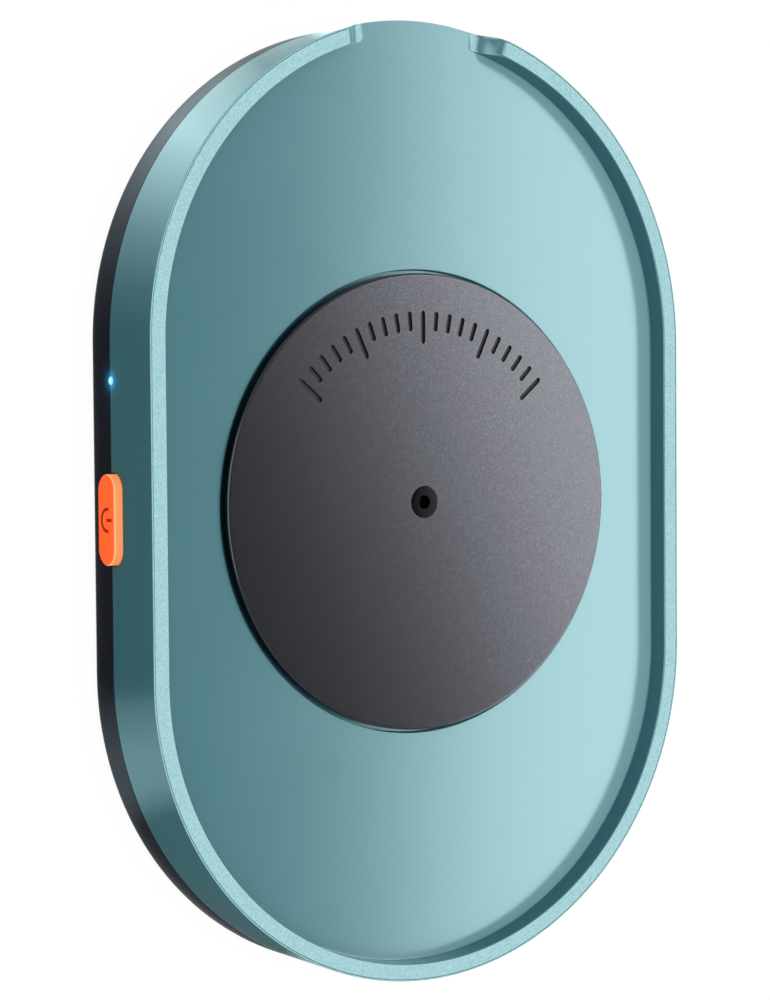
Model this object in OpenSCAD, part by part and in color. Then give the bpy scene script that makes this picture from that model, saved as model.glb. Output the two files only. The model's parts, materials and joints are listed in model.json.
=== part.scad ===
// Mouse mover: a slim case with two round ends, whose geared disc turns slowly under a mouse.
// The underside of the feet is at z = 0, the disc turns about the z axis, and +Y points to the
// gap in the rim that lets the mouse's cable out. The button and the light are on the -X side.

/* [Case] */
// Radius of the two round ends, which is half the width of the case
case_r = 44; // [43:0.5:48]
// Distance between the centres of the two round ends
case_straight = 44; // [40:1:60]
// Thickness of the outer wall, which is the width of the rim
wall_t = 2.4; // [2:0.1:2.6]
// Height of the rim above the tray's floor
rim_h = 3.2; // [2.4:0.1:5]
// Thickness of the tray's floor outside the pocket
tray_floor_t = 2; // [1.4:0.1:2.4]
// Thickness of the plate under the disc
plate_t = 1.4; // [1.2:0.1:2.4]
// Width of the small bevel on the edges of the rim
edge_bevel = 0.25; // [0.1:0.05:0.4]
// Radius of the fillet between the rim and the floor
floor_fillet_r = 0.6; // [0.3:0.1:1]
// Thickness of the base's floor
base_floor_t = 2; // [1.6:0.1:2.6]
// Height of the seam between base and tray above the base's underside
seam_h = 5.5; // [5.3:0.1:6]
// Radius of the base's rounded lower edge
base_edge_r = 1; // [0.4:0.1:1.5]
// Thickness of the lip that locates the tray on the base
lip_t = 1.2; // [1:0.1:1.4]
// Height of the lip above the seam
lip_h = 1.2; // [0.8:0.1:1.6]
// Gap between the lip and the tray's wall
lip_gap = 0.1; // [0.05:0.05:0.2]

/* [Cable gap] */
// Half width of the gap in the rim at the level of the floor
gap_half_w = 9; // [7:0.5:12]
// Length along the rim of each ramp beside the gap
gap_ramp_w = 5; // [4:0.5:7]

/* [Disc] */
// Radius of the disc
disc_r = 31.5; // [30:0.5:33]
// Thickness of the disc
disc_t = 2; // [1.8:0.1:2.6]
// Radial gap between the disc and its pocket
disc_gap = 0.5; // [0.3:0.1:0.8]
// Gap under the disc
disc_lift = 0.3; // [0.2:0.05:0.5]
// Depth of the pocket in the tray's floor
pocket_depth = 1.1; // [0.8:0.1:1.4]
// Width of the bevel round the top of the disc
disc_bevel = 0.3; // [0.1:0.05:0.5]
// Radius of the hub under the disc
hub_r = 5; // [4.6:0.1:5.4]
// Radial gap round the hub
hub_gap = 0.4; // [0.3:0.05:0.6]

/* [Disc screw] */
// Radius of the screw's thread
disc_screw_r = 1.25; // [1:0.05:1.3]
// Radius of the countersunk head
disc_screw_head_r = 2.2; // [2:0.05:2.4]
// Length of the screw with its head
disc_screw_l = 6; // [5:0.5:7]
// Width across the corners of the hexagonal socket
socket_w = 1.8; // [1.4:0.1:2]
// Depth of the hexagonal socket
socket_depth = 0.9; // [0.6:0.1:1.1]

/* [Spindle] */
// Radius of the spindle in its bush
spindle_r = 2; // [1.9:0.05:2.1]
// Radius of the spindle's lower journal
journal_r = 1.5; // [1.3:0.05:1.6]
// Distance from the spindle's centre to the flat of its keyed ends
key_flat = 1.5; // [1.4:0.05:1.7]
// Thickness of the slip washer under the hub
washer_t = 0.25; // [0.2:0.05:0.4]
// Radius of the bush
bush_r = 3.5; // [3.2:0.1:3.8]
// Radius of the bush's flange
bush_flange_r = 4.4; // [4.2:0.1:4.6]
// Thickness of the bush's flange
bush_flange_t = 0.6; // [0.4:0.1:0.8]
// Length of the bush below its flange
bush_l = 2; // [1.6:0.1:2.2]
// Thickness of the clip that holds the gear on the spindle
clip_t = 0.4; // [0.3:0.05:0.5]
// Outer radius of the clip
clip_r = 3; // [2.8:0.1:3.4]
// Radial clearance of every shaft in its bore
run_gap = 0.04; // [0.02:0.01:0.08]

/* [Gears] */
// Module of the drive gear and of the pinion that meets it
slow_module = 0.5; // [0.45:0.01:0.55]
// Teeth of the drive gear
drive_teeth = 56; // [52:1:60]
// Teeth of the idler's pinion
idler_pinion_teeth = 14; // [13:1:15]
// Width of the drive gear's teeth
drive_w = 2; // [1.4:0.1:2.2]
// Module of the idler's wheel and of the motor's pinion
fast_module = 0.4; // [0.39:0.01:0.44]
// Teeth of the idler's wheel
idler_wheel_teeth = 48; // [48:1:52]
// Teeth of the motor's pinion
motor_pinion_teeth = 12; // [12:1:14]
// Width of the idler wheel's teeth
wheel_w = 1.6; // [1.2:0.1:2]
// Gap above and below each layer of gears
layer_gap = 0.5; // [0.4:0.05:0.8]
// Pressure angle of the teeth in degrees
pressure_angle = 25; // [24:0.5:26]
// Amount by which each tooth is thinner than half its pitch
backlash = 0.06; // [0.04:0.01:0.1]
// Radius of the idler's pin
pin_r = 1; // [0.8:0.05:1.2]

/* [Motor] */
// Radius of the motor's can
motor_r = 7.5; // [7:0.1:7.6]
// Height of the can
motor_h = 5.2; // [5:0.1:6]
// Thickness of the can's wall
motor_wall_t = 0.5; // [0.4:0.05:0.7]
// Thickness of the mounting flange
flange_t = 0.8; // [0.6:0.1:1]
// Distance from the motor's centre to each screw
ear_reach = 10; // [9.8:0.1:11]
// Radius of the flange's ears
ear_r = 2.4; // [2.2:0.1:2.6]
// Radius of the rotor's magnet
magnet_r = 3.8; // [3:0.1:4]
// Radius of the motor's shaft
motor_shaft_r = 0.75; // [0.6:0.05:0.9]
// Radius of the bend in the motor's lead
lead_bend_r = 12; // [11:0.5:13]
// Radius of each wire in the lead
wire_r = 0.45; // [0.3:0.05:0.5]
// Distance between neighbouring wires and contacts
wire_pitch = 1.25; // [1.2:0.05:1.5]

/* [Circuit board] */
// Thickness of the board
board_t = 1; // [0.8:0.1:1.2]
// Height of the pillars that the board rests on
board_lift = 1.6; // [1.4:0.1:1.8]
// Gap between the board's edge and the lip
board_edge_gap = 1; // [0.6:0.1:1.4]
// Distance of the board's inner edge from the spindle
board_inner_x = 17; // [16:0.5:19]
// Distance of the board's lower end from the spindle
board_low_y = 12; // [11:0.5:13]
// Height of the push switch
switch_h = 3; // [2.8:0.1:3.2]
// Thickness of the power socket across its flat sides
usb_h = 3.2; // [3.1:0.05:3.3]
// Width of the power socket
usb_w = 8.94; // [8.9:0.02:9]
// Length of the power socket
usb_l = 7.4; // [6.8:0.1:8]
// Depth of the socket's mouth behind the case's end
usb_inset = 0.7; // [0.4:0.1:1.2]

/* [Button and light] */
// Length of the button
button_l = 12; // [10:0.5:13]
// Width of the button
button_w = 4.4; // [4:0.1:4.6]
// Distance that the button stands out of the wall
button_proud = 1.2; // [0.8:0.1:1.6]
// Distance of the button's centre from the spindle, towards the lower end
button_low_y = 1.2; // [0:0.1:3]
// Gap round the button
button_gap = 0.2; // [0.15:0.05:0.3]
// Distance that the button travels when it is pushed
button_travel = 0.3; // [0.2:0.05:0.4]
// Width of the bevel round the button's face
button_bevel = 0.35; // [0.2:0.05:0.5]
// Distance of the light's centre from the spindle
light_y = 17; // [15:0.5:18]
// Radius of the light pipe's window
light_r = 0.6; // [0.4:0.05:0.8]

/* [Feet and case screws] */
// Radius of the rubber feet
foot_r = 5; // [4:0.5:5.5]
// Thickness of the feet
foot_t = 1.6; // [1.3:0.1:1.8]
// Distance that the feet stand out of the base
foot_proud = 0.8; // [0.6:0.1:1]
// Radius of the case screws' thread
case_screw_r = 1.25; // [1:0.05:1.4]
// Radius of the case screws' heads
case_head_r = 2.2; // [2:0.1:2.4]
// Thickness of the case screws' heads
case_head_t = 1.3; // [1:0.1:1.4]
// Length of the case screws under their heads
case_screw_l = 7; // [6:0.5:8]
// Radius of the posts round the case screws
post_r = 3.2; // [3:0.1:3.4]

/* [Hidden] */
$fn = 96;
past = 1; // how far a cutter runs past the face that it opens
end_y = case_straight / 2;
inner_r = case_r - wall_t;
lip_outer_r = inner_r - lip_gap;
lip_inner_r = lip_outer_r - lip_t;
board_r = lip_inner_r - board_edge_gap;

// Heights, from the feet upwards
base_z = foot_proud;
floor_z = base_z + base_floor_t;
seam_z = base_z + seam_h;
lip_z = seam_z + lip_h;
flange_z = floor_z + motor_h;
wheel_z = flange_z + flange_t + layer_gap;
plate_z = wheel_z + wheel_w + layer_gap;
pocket_z = plate_z + plate_t;
tray_z = pocket_z + pocket_depth;
rim_z = tray_z + rim_h;
under_tray_z = tray_z - tray_floor_t;
disc_z = pocket_z + disc_lift;
disc_top_z = disc_z + disc_t;
sink_h = disc_screw_head_r - disc_screw_r;
spindle_top_z = disc_top_z - sink_h - 0.3;
hub_depth = 1;
recess_z = pocket_z - hub_depth;
hub_z = recess_z + washer_t + run_gap;
bush_z = recess_z - bush_flange_t - bush_l;
boss_r = bush_flange_r + 1.2;
drive_z = wheel_z - layer_gap - drive_w;
gear_hub_top_z = bush_z - run_gap;
gear_hub_r = spindle_r + 1.6;
clip_z = drive_z - 0.4 - clip_t;
shoulder_z = clip_z - 0.4;
pivot_top_z = shoulder_z - run_gap;
journal_z = floor_z + 0.2;
idler_z = drive_z - 0.3;
board_z = floor_z + board_lift;
board_top_z = board_z + board_t;
button_z = board_top_z + switch_h / 2;
post_top_z = board_top_z;

// Gears: the idler lies towards -Y from the spindle, and the motor further out
idler_y = -(drive_teeth + idler_pinion_teeth) * slow_module / 2;
motor_y = idler_y - (idler_wheel_teeth + motor_pinion_teeth) * fast_module / 2;
train_angle = -90;
function mesh_phase(phase, teeth, next_teeth) =
    train_angle + 180 + 180 / next_teeth - (phase - train_angle) * teeth / next_teeth;
idler_pinion_phase = mesh_phase(0, drive_teeth, idler_pinion_teeth);
motor_pinion_phase = mesh_phase(idler_pinion_phase, idler_wheel_teeth, motor_pinion_teeth);

// Screws and feet of the case: one at each end of each side, at these angles round the end arcs
post_angle = 50;
post_inset = 9;
post_reach = case_r - post_inset;
foot_angle = 22;
foot_inset = 11;
foot_reach = case_r - foot_inset;
counterbore_z = base_z + case_head_t + 0.9;
thread_gap = 0.05;

// Motor screws
motor_screw_r = 1;
motor_head_r = 1.8;
motor_head_t = 1;
motor_screw_l = 4;

// Board screws: two down the board's side and one on the arm that reaches round the end
board_screw_l = 2.4;
board_arm_x = 12;
board_arm_y = end_y + 2;
board_screw_inset = 4;
board_screw_far_inset = 13;
board_screw_side_y = 2;
board_screw_end_rise = 8;
board_screw_arm_rise = 12;
board_screw_at = [
    [-board_inner_x - board_screw_inset, board_screw_side_y],
    [-board_inner_x - board_screw_far_inset, end_y + board_screw_end_rise],
    [board_arm_x - board_screw_inset, board_arm_y + board_screw_arm_rise]
];
pillar_r = 2.2;

// Driver chip and the small parts on the board
chip_inset = 9;
chip_y = 12;
chip_at = [-board_inner_x - chip_inset, chip_y];
chip_body = [4, 5, 1.1];
chip_leg = [1, 0.4, 0.5];
chip_leg_pitch = 1.2;
can_r = 2.2;
can_h = 4.2;
can_pitch = 6;
can_x = 6;
can_rise = 18;
can_y = board_arm_y + can_rise;
coil_x = 2;
coil_size = [4, 4, 2];
resistor_size = [1.6, 0.8, 0.6];
resistor_pitch = 2.6;
resistor_row_x = 17;
resistor_row_y = board_arm_y + 4;
resistor_column_x = board_inner_x + 7;
resistor_column_y = 18;

// Lead: out of the terminal at lead_heading, round one bend, then straight on towards +Y
lead_heading = 225;
terminal_depth = 2.6;
terminal_w = 3 * wire_pitch + 2.2;
terminal_h = 3;
lead_turn = lead_heading - 90;
lead_start_r = motor_r + terminal_depth - 0.3;
lead_start = [lead_start_r * cos(lead_heading), motor_y + lead_start_r * sin(lead_heading)];
lead_centre = lead_start + lead_bend_r * [cos(lead_turn), sin(lead_turn)];
lead_x = lead_centre[0] - lead_bend_r;
plug_l = 6;
plug_h = 2.4;
plug_w = 3 * wire_pitch + 2.6;
plug_seat = 3.5;
plug_back_y = -board_low_y - plug_l + plug_seat;
socket_wall_t = 0.6;
socket_body_l = 5.5;
lead_z = board_top_z + socket_wall_t + plug_h / 2 + run_gap;

// Button, switch and light
button_flange_t = 0.8;
button_flange_margin = 0.9;
button_stem_r = 1.2;
stem_l = 1.1;
button_inner_x = -inner_r + 0.05 + button_flange_t;
stem_tip_x = button_inner_x + stem_l;
plunger_r = 0.9;
plunger_l = 0.9;
switch_x = stem_tip_x + run_gap + plunger_l;
switch_l = 6;
switch_d = 3.5;
button_bay_gap = 0.4;
led_size = [1, 2, 1.6];
light_z = board_top_z + led_size[2] / 2 + 0.25;
led_x = -board_r + 0.3;

// Power socket
usb_y = end_y + case_r - usb_inset - usb_l;
usb_z = board_top_z + usb_h / 2;
usb_wall_t = 0.3;
usb_back_t = 1;
port_gap = 0.3;

// ---- Shapes that several parts share ----

// Outline of the case drawn at another radius
module outline(r) {
    square([2 * r, case_straight], center = true);
    for (side = [-1, 1]) translate([0, side * end_y]) circle(r);
}

// Carries half a cross-section (x outwards from the middle, y up) once round the case
module round_the_case() {
    for (turn = [0, 180]) rotate([0, 0, turn])
        translate([0, end_y, 0]) rotate_extrude(angle = 180) children();
    rotate([90, 0, 0]) linear_extrude(case_straight, center = true) {
        children();
        mirror([1, 0]) children();
    }
}

// A round bar or, with r_in above 0, a ring that stands on z
module ring(r, h, z, r_in = 0) {
    translate([0, 0, z]) difference() {
        cylinder(r = r, h = h);
        if (r_in > 0) translate([0, 0, -past]) cylinder(r = r_in, h = h + 2 * past);
    }
}

// A flat shape with round ends, w by h, its long side along x
module capsule(w, h) {
    square([w - h, h], center = true);
    for (side = [-1, 1]) translate([side * (w - h) / 2, 0]) circle(h / 2);
}

// A capsule prism that lies across the -X wall, from x0 to x1, its long side along y
module wall_capsule(l, w, x0, x1) {
    translate([x0, -button_low_y, button_z]) rotate([90, 0, 90])
        linear_extrude(x1 - x0) capsule(l, w);
}

// Repeats its children at the four places round the end arcs
module at_corners(angle, reach) {
    for (sx = [-1, 1], sy = [-1, 1])
        translate([sx * reach * cos(angle), sy * (end_y + reach * sin(angle)), 0]) children();
}

// Repeats its children at the two ears of the motor's flange
module at_ears() {
    for (side = [-1, 1]) translate([side * ear_reach, motor_y, 0]) children();
}

// A screw that stands on its point: thread radius r, length l, head radius and height, cross slot
module pan_screw(r, l, head_r, head_t) {
    difference() {
        union() {
            translate([0, 0, -l]) cylinder(r = r, h = l);
            cylinder(r1 = head_r, r2 = head_r * 0.8, h = head_t);
        }
        for (turn = [0, 90]) rotate([0, 0, turn])
            translate([-head_r * 0.6, -head_r * 0.1, head_t * 0.5])
                cube([head_r * 1.2, head_r * 0.2, head_t]);
    }
}

// Everything on one side of a flat: the round bar that it cuts keeps a D-shaped section
module flat_cut(flat, h, z) {
    translate([flat, -spindle_r - past, z]) cube([2 * spindle_r, 2 * (spindle_r + past), h]);
}

// ---- Involute gears ----

function involute(a) = tan(a) * 180 / PI - a;
function polar(r, a) = r * [cos(a), sin(a)];

// Half the angle that a tooth spans at radius r
function half_tooth(r, teeth, module_size) =
    let (pitch_r = teeth * module_size / 2, base_r = pitch_r * cos(pressure_angle))
    90 / teeth - backlash / 2 / pitch_r * 180 / PI
        + involute(pressure_angle) - involute(acos(min(1, base_r / r)));

// Outline of a spur gear whose tooth 0 points at the angle phase
module gear_outline(teeth, module_size, phase = 0) {
    pitch_r = teeth * module_size / 2;
    tip_r = pitch_r + 0.96 * module_size;
    root_r = pitch_r - 1.2 * module_size;
    flank_r = max(root_r + 0.01, pitch_r * cos(pressure_angle));
    steps = 3;
    radii = [for (i = [0:steps]) flank_r + (tip_r - flank_r) * i / steps];
    polygon([
        for (k = [0:teeth - 1]) let (a = phase + k * 360 / teeth) each [
            polar(root_r, a - half_tooth(flank_r, teeth, module_size)),
            for (r = radii) polar(r, a - half_tooth(r, teeth, module_size)),
            for (i = [steps:-1:0]) polar(radii[i], a + half_tooth(radii[i], teeth, module_size)),
            polar(root_r, a + half_tooth(flank_r, teeth, module_size))
        ]
    ]);
}

// ---- Case ----

// Profile of the tray's wall, rim and floor
module tray_profile() {
    polygon([
        [0, under_tray_z], [0, tray_z], [inner_r - floor_fillet_r, tray_z],
        for (a = [15:15:90])
            [inner_r - floor_fillet_r + floor_fillet_r * sin(a), tray_z + floor_fillet_r * (1 - cos(a))],
        [inner_r, rim_z - edge_bevel], [inner_r + edge_bevel, rim_z],
        [case_r - edge_bevel, rim_z], [case_r, rim_z - edge_bevel],
        [case_r, seam_z], [inner_r, seam_z], [inner_r, under_tray_z]
    ]);
}

// What the cable gap takes out of the rim, seen from the end: two S-shaped ramps
module cable_gap_profile() {
    steps = 12;
    ramp = [for (i = [0:steps])
        [gap_half_w + gap_ramp_w * i / steps, tray_z + rim_h * (1 - cos(180 * i / steps)) / 2]];
    top = rim_z + past;
    polygon(concat(
        ramp,
        [[gap_half_w + gap_ramp_w, top], [-gap_half_w - gap_ramp_w, top]],
        [for (i = [steps:-1:0]) [-ramp[i][0], ramp[i][1]]]
    ));
}

// The holes that the button, the light and the power socket need in both shells
module side_openings() {
    wall_capsule(button_l + 2 * button_gap, button_w + 2 * button_gap,
        -case_r - past, -lip_inner_r + past);
    translate([-case_r - past, light_y, light_z]) rotate([0, 90, 0])
        cylinder(r = light_r, h = case_r - lip_inner_r + 2 * past);
    translate([0, end_y + lip_inner_r - past, usb_z]) rotate([-90, 0, 0])
        linear_extrude(case_r - lip_inner_r + 2 * past)
            capsule(usb_w + 2 * port_gap, usb_h + 2 * port_gap);
}

module tray() {
    color([0.44, 0.69, 0.72]) difference() {
        union() {
            round_the_case() tray_profile();
            ring(disc_r + disc_gap + tray_floor_t, under_tray_z - plate_z + past / 2, plate_z);
            ring(boss_r, plate_z - bush_z + past / 2, bush_z);
            at_corners(post_angle, post_reach)
                ring(post_r, under_tray_z - post_top_z + past / 2, post_top_z);
        }
        ring(disc_r + disc_gap, pocket_depth + rim_h, pocket_z);
        ring(hub_r + hub_gap, hub_depth + past, recess_z);
        ring(bush_flange_r, bush_flange_t + past, recess_z - bush_flange_t);
        ring(bush_r, bush_l + 2 * past, bush_z - past);
        translate([0, end_y + case_r + past, 0]) rotate([90, 0, 0])
            linear_extrude(case_r) cable_gap_profile();
        at_corners(post_angle, post_reach)
            ring(case_screw_r + thread_gap, counterbore_z + case_screw_l + past / 2 - post_top_z + past,
                post_top_z - past);
        side_openings();
    }
}

// Profile of the base's floor, wall and locating lip
module base_profile() {
    polygon([
        [0, floor_z], [0, base_z], [case_r - base_edge_r, base_z],
        for (a = [15:15:90])
            [case_r - base_edge_r + base_edge_r * sin(a), base_z + base_edge_r * (1 - cos(a))],
        [case_r, seam_z], [lip_outer_r, seam_z], [lip_outer_r, lip_z], [lip_inner_r, lip_z],
        [lip_inner_r, floor_z]
    ]);
}

// Low ribs that stiffen the open half of the base
module floor_ribs() {
    rib_t = 1;
    rib_h = 1.4;
    rib_pitch = 12;
    long_rib_inset = 8;
    translate([0, 0, floor_z - past / 2]) linear_extrude(rib_h + past / 2) intersection() {
        outline(lip_inner_r + past / 2);
        union() {
            translate([board_inner_x + long_rib_inset, -case_straight])
                square([rib_t, 2 * case_straight]);
            for (i = [-3:3])
                translate([board_inner_x, i * rib_pitch]) square([case_r, rib_t]);
        }
    }
}

module base_cover() {
    color([0.16, 0.17, 0.2]) difference() {
        union() {
            round_the_case() base_profile();
            floor_ribs();
            ring(journal_r + 2.4, pivot_top_z - base_z - past / 2, base_z + past / 2);
            translate([0, idler_y, 0])
                ring(pin_r + 1.6, idler_z - run_gap - base_z - past / 2, base_z + past / 2);
            translate([0, motor_y, 0]) ring(motor_r + 1.2, 1.5, floor_z, motor_r + 0.1);
            at_ears() ring(ear_r, flange_z - base_z - past / 2, base_z + past / 2);
            for (at = board_screw_at)
                translate(at) ring(pillar_r, board_z - base_z - past / 2, base_z + past / 2);
            at_corners(post_angle, post_reach) ring(post_r, post_top_z - base_z, base_z);
        }
        translate([0, 0, journal_z]) cylinder(r = journal_r + run_gap, h = seam_h);
        translate([0, idler_y, floor_z]) cylinder(r = pin_r, h = motor_h);
        translate([0, motor_y, floor_z]) cylinder(r = motor_r + 0.1, h = motor_h + past);
        at_ears() ring(motor_screw_r + thread_gap, motor_h, flange_z - motor_screw_l);
        for (at = board_screw_at) translate(at)
            ring(motor_screw_r + thread_gap, board_z, board_z - board_screw_l + board_t);
        at_corners(post_angle, post_reach) {
            ring(case_head_r + 0.2, counterbore_z - base_z + past, base_z - past);
            ring(case_screw_r + thread_gap, post_top_z, counterbore_z - past);
        }
        at_corners(foot_angle, foot_reach) ring(foot_r, foot_t - foot_proud + past, base_z - past);
        button_bay();
        side_openings();
    }
}

// Room behind the wall for the button's flange
module button_bay() {
    flange_l = button_l + 2 * (button_flange_margin + button_bay_gap);
    flange_w = button_w + 2 * (button_flange_margin + button_bay_gap);
    translate([-inner_r, -button_low_y - flange_l / 2, button_z - flange_w / 2])
        cube([inner_r - lip_inner_r + past, flange_l, flange_w]);
}

module case_screws() {
    color([0.3, 0.31, 0.33]) at_corners(post_angle, post_reach)
        translate([0, 0, counterbore_z]) mirror([0, 0, 1])
            pan_screw(case_screw_r, case_screw_l, case_head_r, case_head_t);
}

module rubber_feet() {
    bevel = 0.3;
    color([0.08, 0.08, 0.09]) at_corners(foot_angle, foot_reach) rotate_extrude() polygon([
        [0, 0], [foot_r - bevel, 0], [foot_r, bevel], [foot_r, foot_t], [0, foot_t]
    ]);
}

// ---- Turntable ----

// The screw's cone-shaped head, which the disc's countersink takes in
module countersink() {
    translate([0, 0, disc_top_z - sink_h])
        cylinder(r1 = disc_screw_r, r2 = disc_screw_head_r, h = sink_h);
}

module turntable_disc() {
    color([0.27, 0.27, 0.29]) difference() {
        rotate_extrude() polygon([
            [0, hub_z], [hub_r, hub_z], [hub_r, disc_z], [disc_r, disc_z],
            [disc_r, disc_top_z - disc_bevel], [disc_r - disc_bevel, disc_top_z], [0, disc_top_z]
        ]);
        countersink();
        ring(disc_screw_r, disc_top_z - hub_z, hub_z);
        difference() {
            ring(spindle_r, spindle_top_z - hub_z + past, hub_z - past);
            flat_cut(key_flat, disc_t + 2 * past, hub_z - past);
        }
    }
}

module disc_screw() {
    color([0.12, 0.12, 0.12]) difference() {
        union() {
            countersink();
            ring(disc_screw_r, disc_screw_l - sink_h, disc_top_z - disc_screw_l);
        }
        translate([0, 0, disc_top_z - socket_depth])
            cylinder(d = socket_w, h = socket_depth + past, $fn = 6);
    }
}

module spindle() {
    color([0.7, 0.71, 0.73]) difference() {
        union() {
            ring(journal_r, shoulder_z - journal_z - run_gap + past / 2, journal_z + run_gap);
            ring(spindle_r, clip_z - shoulder_z, shoulder_z);
            ring(journal_r, clip_t + past / 2, clip_z - past / 4);
            ring(spindle_r, spindle_top_z - clip_z - clip_t, clip_z + clip_t);
        }
        flat_cut(key_flat, gear_hub_top_z - clip_z - clip_t, clip_z + clip_t);
        flat_cut(key_flat, disc_t + past, hub_z);
        ring(disc_screw_r, disc_screw_l, disc_top_z - disc_screw_l - 0.3);
    }
}

module spindle_bush() {
    color([0.72, 0.58, 0.3]) difference() {
        union() {
            ring(bush_flange_r, bush_flange_t, recess_z - bush_flange_t);
            ring(bush_r, bush_l + bush_flange_t / 2, bush_z);
        }
        ring(spindle_r + run_gap, bush_l + bush_flange_t + 2 * past, bush_z - past);
    }
}

module thrust_washer() {
    color([0.9, 0.9, 0.88]) ring(bush_flange_r - 0.3, washer_t, recess_z, spindle_r + run_gap);
}

module drive_gear() {
    hub_low_z = clip_z + clip_t;
    color([0.93, 0.92, 0.88]) difference() {
        union() {
            translate([0, 0, drive_z]) linear_extrude(drive_w) gear_outline(drive_teeth, slow_module);
            ring(gear_hub_r, gear_hub_top_z - hub_low_z, hub_low_z);
        }
        difference() {
            ring(spindle_r, drive_w + motor_h, hub_low_z - past);
            flat_cut(key_flat, drive_w + motor_h, hub_low_z - past);
        }
        for (turn = [0:60:300]) rotate([0, 0, turn + 30])
            translate([(drive_teeth * slow_module / 2 + gear_hub_r) / 2, 0, 0])
                ring(drive_teeth * slow_module * 0.09, drive_w + 2 * past, drive_z - past);
    }
}

module retaining_clip() {
    color([0.35, 0.36, 0.38]) difference() {
        ring(clip_r, clip_t, clip_z, journal_r);
        translate([0, -journal_r * 0.8, clip_z - past])
            cube([clip_r + past, journal_r * 1.6, clip_t + 2 * past]);
    }
}

// ---- Idler and motor ----

module idler_gear() {
    color([0.85, 0.87, 0.9]) translate([0, idler_y, 0]) difference() {
        union() {
            translate([0, 0, idler_z]) linear_extrude(wheel_z - idler_z + past / 2)
                gear_outline(idler_pinion_teeth, slow_module, idler_pinion_phase);
            translate([0, 0, wheel_z]) linear_extrude(wheel_w)
                gear_outline(idler_wheel_teeth, fast_module, idler_pinion_phase);
        }
        ring(pin_r + run_gap, plate_z, base_z);
        ring(idler_wheel_teeth * fast_module / 2 - 1.8, wheel_w, wheel_z + wheel_w * 0.6, pin_r + 1.4);
    }
}

module idler_pin() {
    color([0.7, 0.71, 0.73]) translate([0, idler_y, 0])
        ring(pin_r, plate_z - layer_gap / 2 - floor_z, floor_z);
}

module motor_case() {
    color([0.75, 0.76, 0.78]) translate([0, motor_y, 0]) difference() {
        rotate_extrude() polygon([
            [0, floor_z], [motor_r - 0.6, floor_z], [motor_r, floor_z + 0.6], [motor_r, flange_z],
            [0, flange_z]
        ]);
        ring(motor_r - motor_wall_t, motor_h, floor_z + motor_wall_t);
    }
}

module motor_flange() {
    color([0.78, 0.79, 0.8]) difference() {
        translate([0, 0, flange_z]) linear_extrude(flange_t) {
            translate([0, motor_y]) circle(motor_r);
            translate([0, motor_y]) capsule(2 * (ear_reach + ear_r), 2 * ear_r);
        }
        at_ears() ring(motor_screw_r + 0.1, flange_t + 2 * past, flange_z - past);
        translate([0, motor_y, 0]) ring(motor_shaft_r + run_gap, flange_t + 2 * past, flange_z - past);
    }
}

module motor_coils() {
    gap = 0.3;
    coil_h = (motor_h - motor_wall_t - 3 * gap) / 2;
    color([0.72, 0.42, 0.2]) translate([0, motor_y, 0]) for (i = [0, 1])
        ring(motor_r - motor_wall_t, coil_h, floor_z + motor_wall_t + i * (coil_h + gap), magnet_r + gap);
}

module rotor_magnet() {
    color([0.25, 0.25, 0.27]) translate([0, motor_y, 0])
        ring(magnet_r, motor_h - motor_wall_t - 1, floor_z + motor_wall_t + 0.5, motor_shaft_r);
}

module motor_shaft() {
    low_z = floor_z + motor_wall_t + run_gap;
    color([0.7, 0.71, 0.73]) translate([0, motor_y, 0])
        ring(motor_shaft_r, plate_z - layer_gap / 2 - low_z, low_z);
}

module motor_pinion() {
    color([0.72, 0.58, 0.3]) translate([0, motor_y, wheel_z - layer_gap / 2]) difference() {
        linear_extrude(wheel_w + layer_gap / 2)
            gear_outline(motor_pinion_teeth, fast_module, motor_pinion_phase);
        translate([0, 0, -past]) cylinder(r = motor_shaft_r, h = wheel_w + layer_gap + 2 * past);
    }
}

module motor_screws() {
    color([0.6, 0.61, 0.63]) at_ears() translate([0, 0, flange_z + flange_t])
        pan_screw(motor_screw_r, motor_screw_l, motor_head_r, motor_head_t);
}

// Places its children at the motor's terminal, x outwards from the motor
module at_terminal() {
    translate([0, motor_y, lead_z]) rotate([0, 0, lead_heading]) children();
}

module motor_terminal() {
    color([0.9, 0.9, 0.86]) difference() {
        at_terminal() translate([0, -terminal_w / 2, -terminal_h / 2])
            cube([motor_r + terminal_depth, terminal_w, terminal_h]);
        translate([0, motor_y, 0]) ring(motor_r, plate_z, floor_z);
        at_terminal() for (i = [0:3]) translate([lead_start_r, (i - 1.5) * wire_pitch, 0])
            rotate([0, 90, 0]) cylinder(r = wire_r + run_gap, h = terminal_depth);
    }
}

// Four wires side by side: a bend about lead_centre, then a straight run into the plug
module motor_lead() {
    color([0.75, 0.15, 0.12]) for (i = [0:3]) {
        bend_r = lead_bend_r + (i - 1.5) * wire_pitch;
        translate([lead_centre[0], lead_centre[1], lead_z]) {
            rotate([0, 0, 180]) rotate_extrude(angle = lead_turn)
                translate([bend_r, 0]) circle(wire_r);
            translate([-bend_r, 0, 0]) rotate([-90, 0, 0])
                cylinder(r = wire_r, h = plug_back_y - lead_centre[1]);
        }
    }
}

module lead_plug() {
    color([0.93, 0.93, 0.9]) translate([lead_x - plug_w / 2, plug_back_y, lead_z - plug_h / 2])
        cube([plug_w, plug_l, plug_h]);
}

module lead_socket() {
    color([0.9, 0.88, 0.82]) difference() {
        translate([lead_x - plug_w / 2 - socket_wall_t, -board_low_y, board_top_z])
            cube([plug_w + 2 * socket_wall_t, socket_body_l, plug_h + 2 * (socket_wall_t + run_gap)]);
        translate([lead_x - plug_w / 2 - run_gap, -board_low_y - past, lead_z - plug_h / 2 - run_gap])
            cube([plug_w + 2 * run_gap, plug_seat + past, plug_h + 2 * run_gap]);
    }
}

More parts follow.
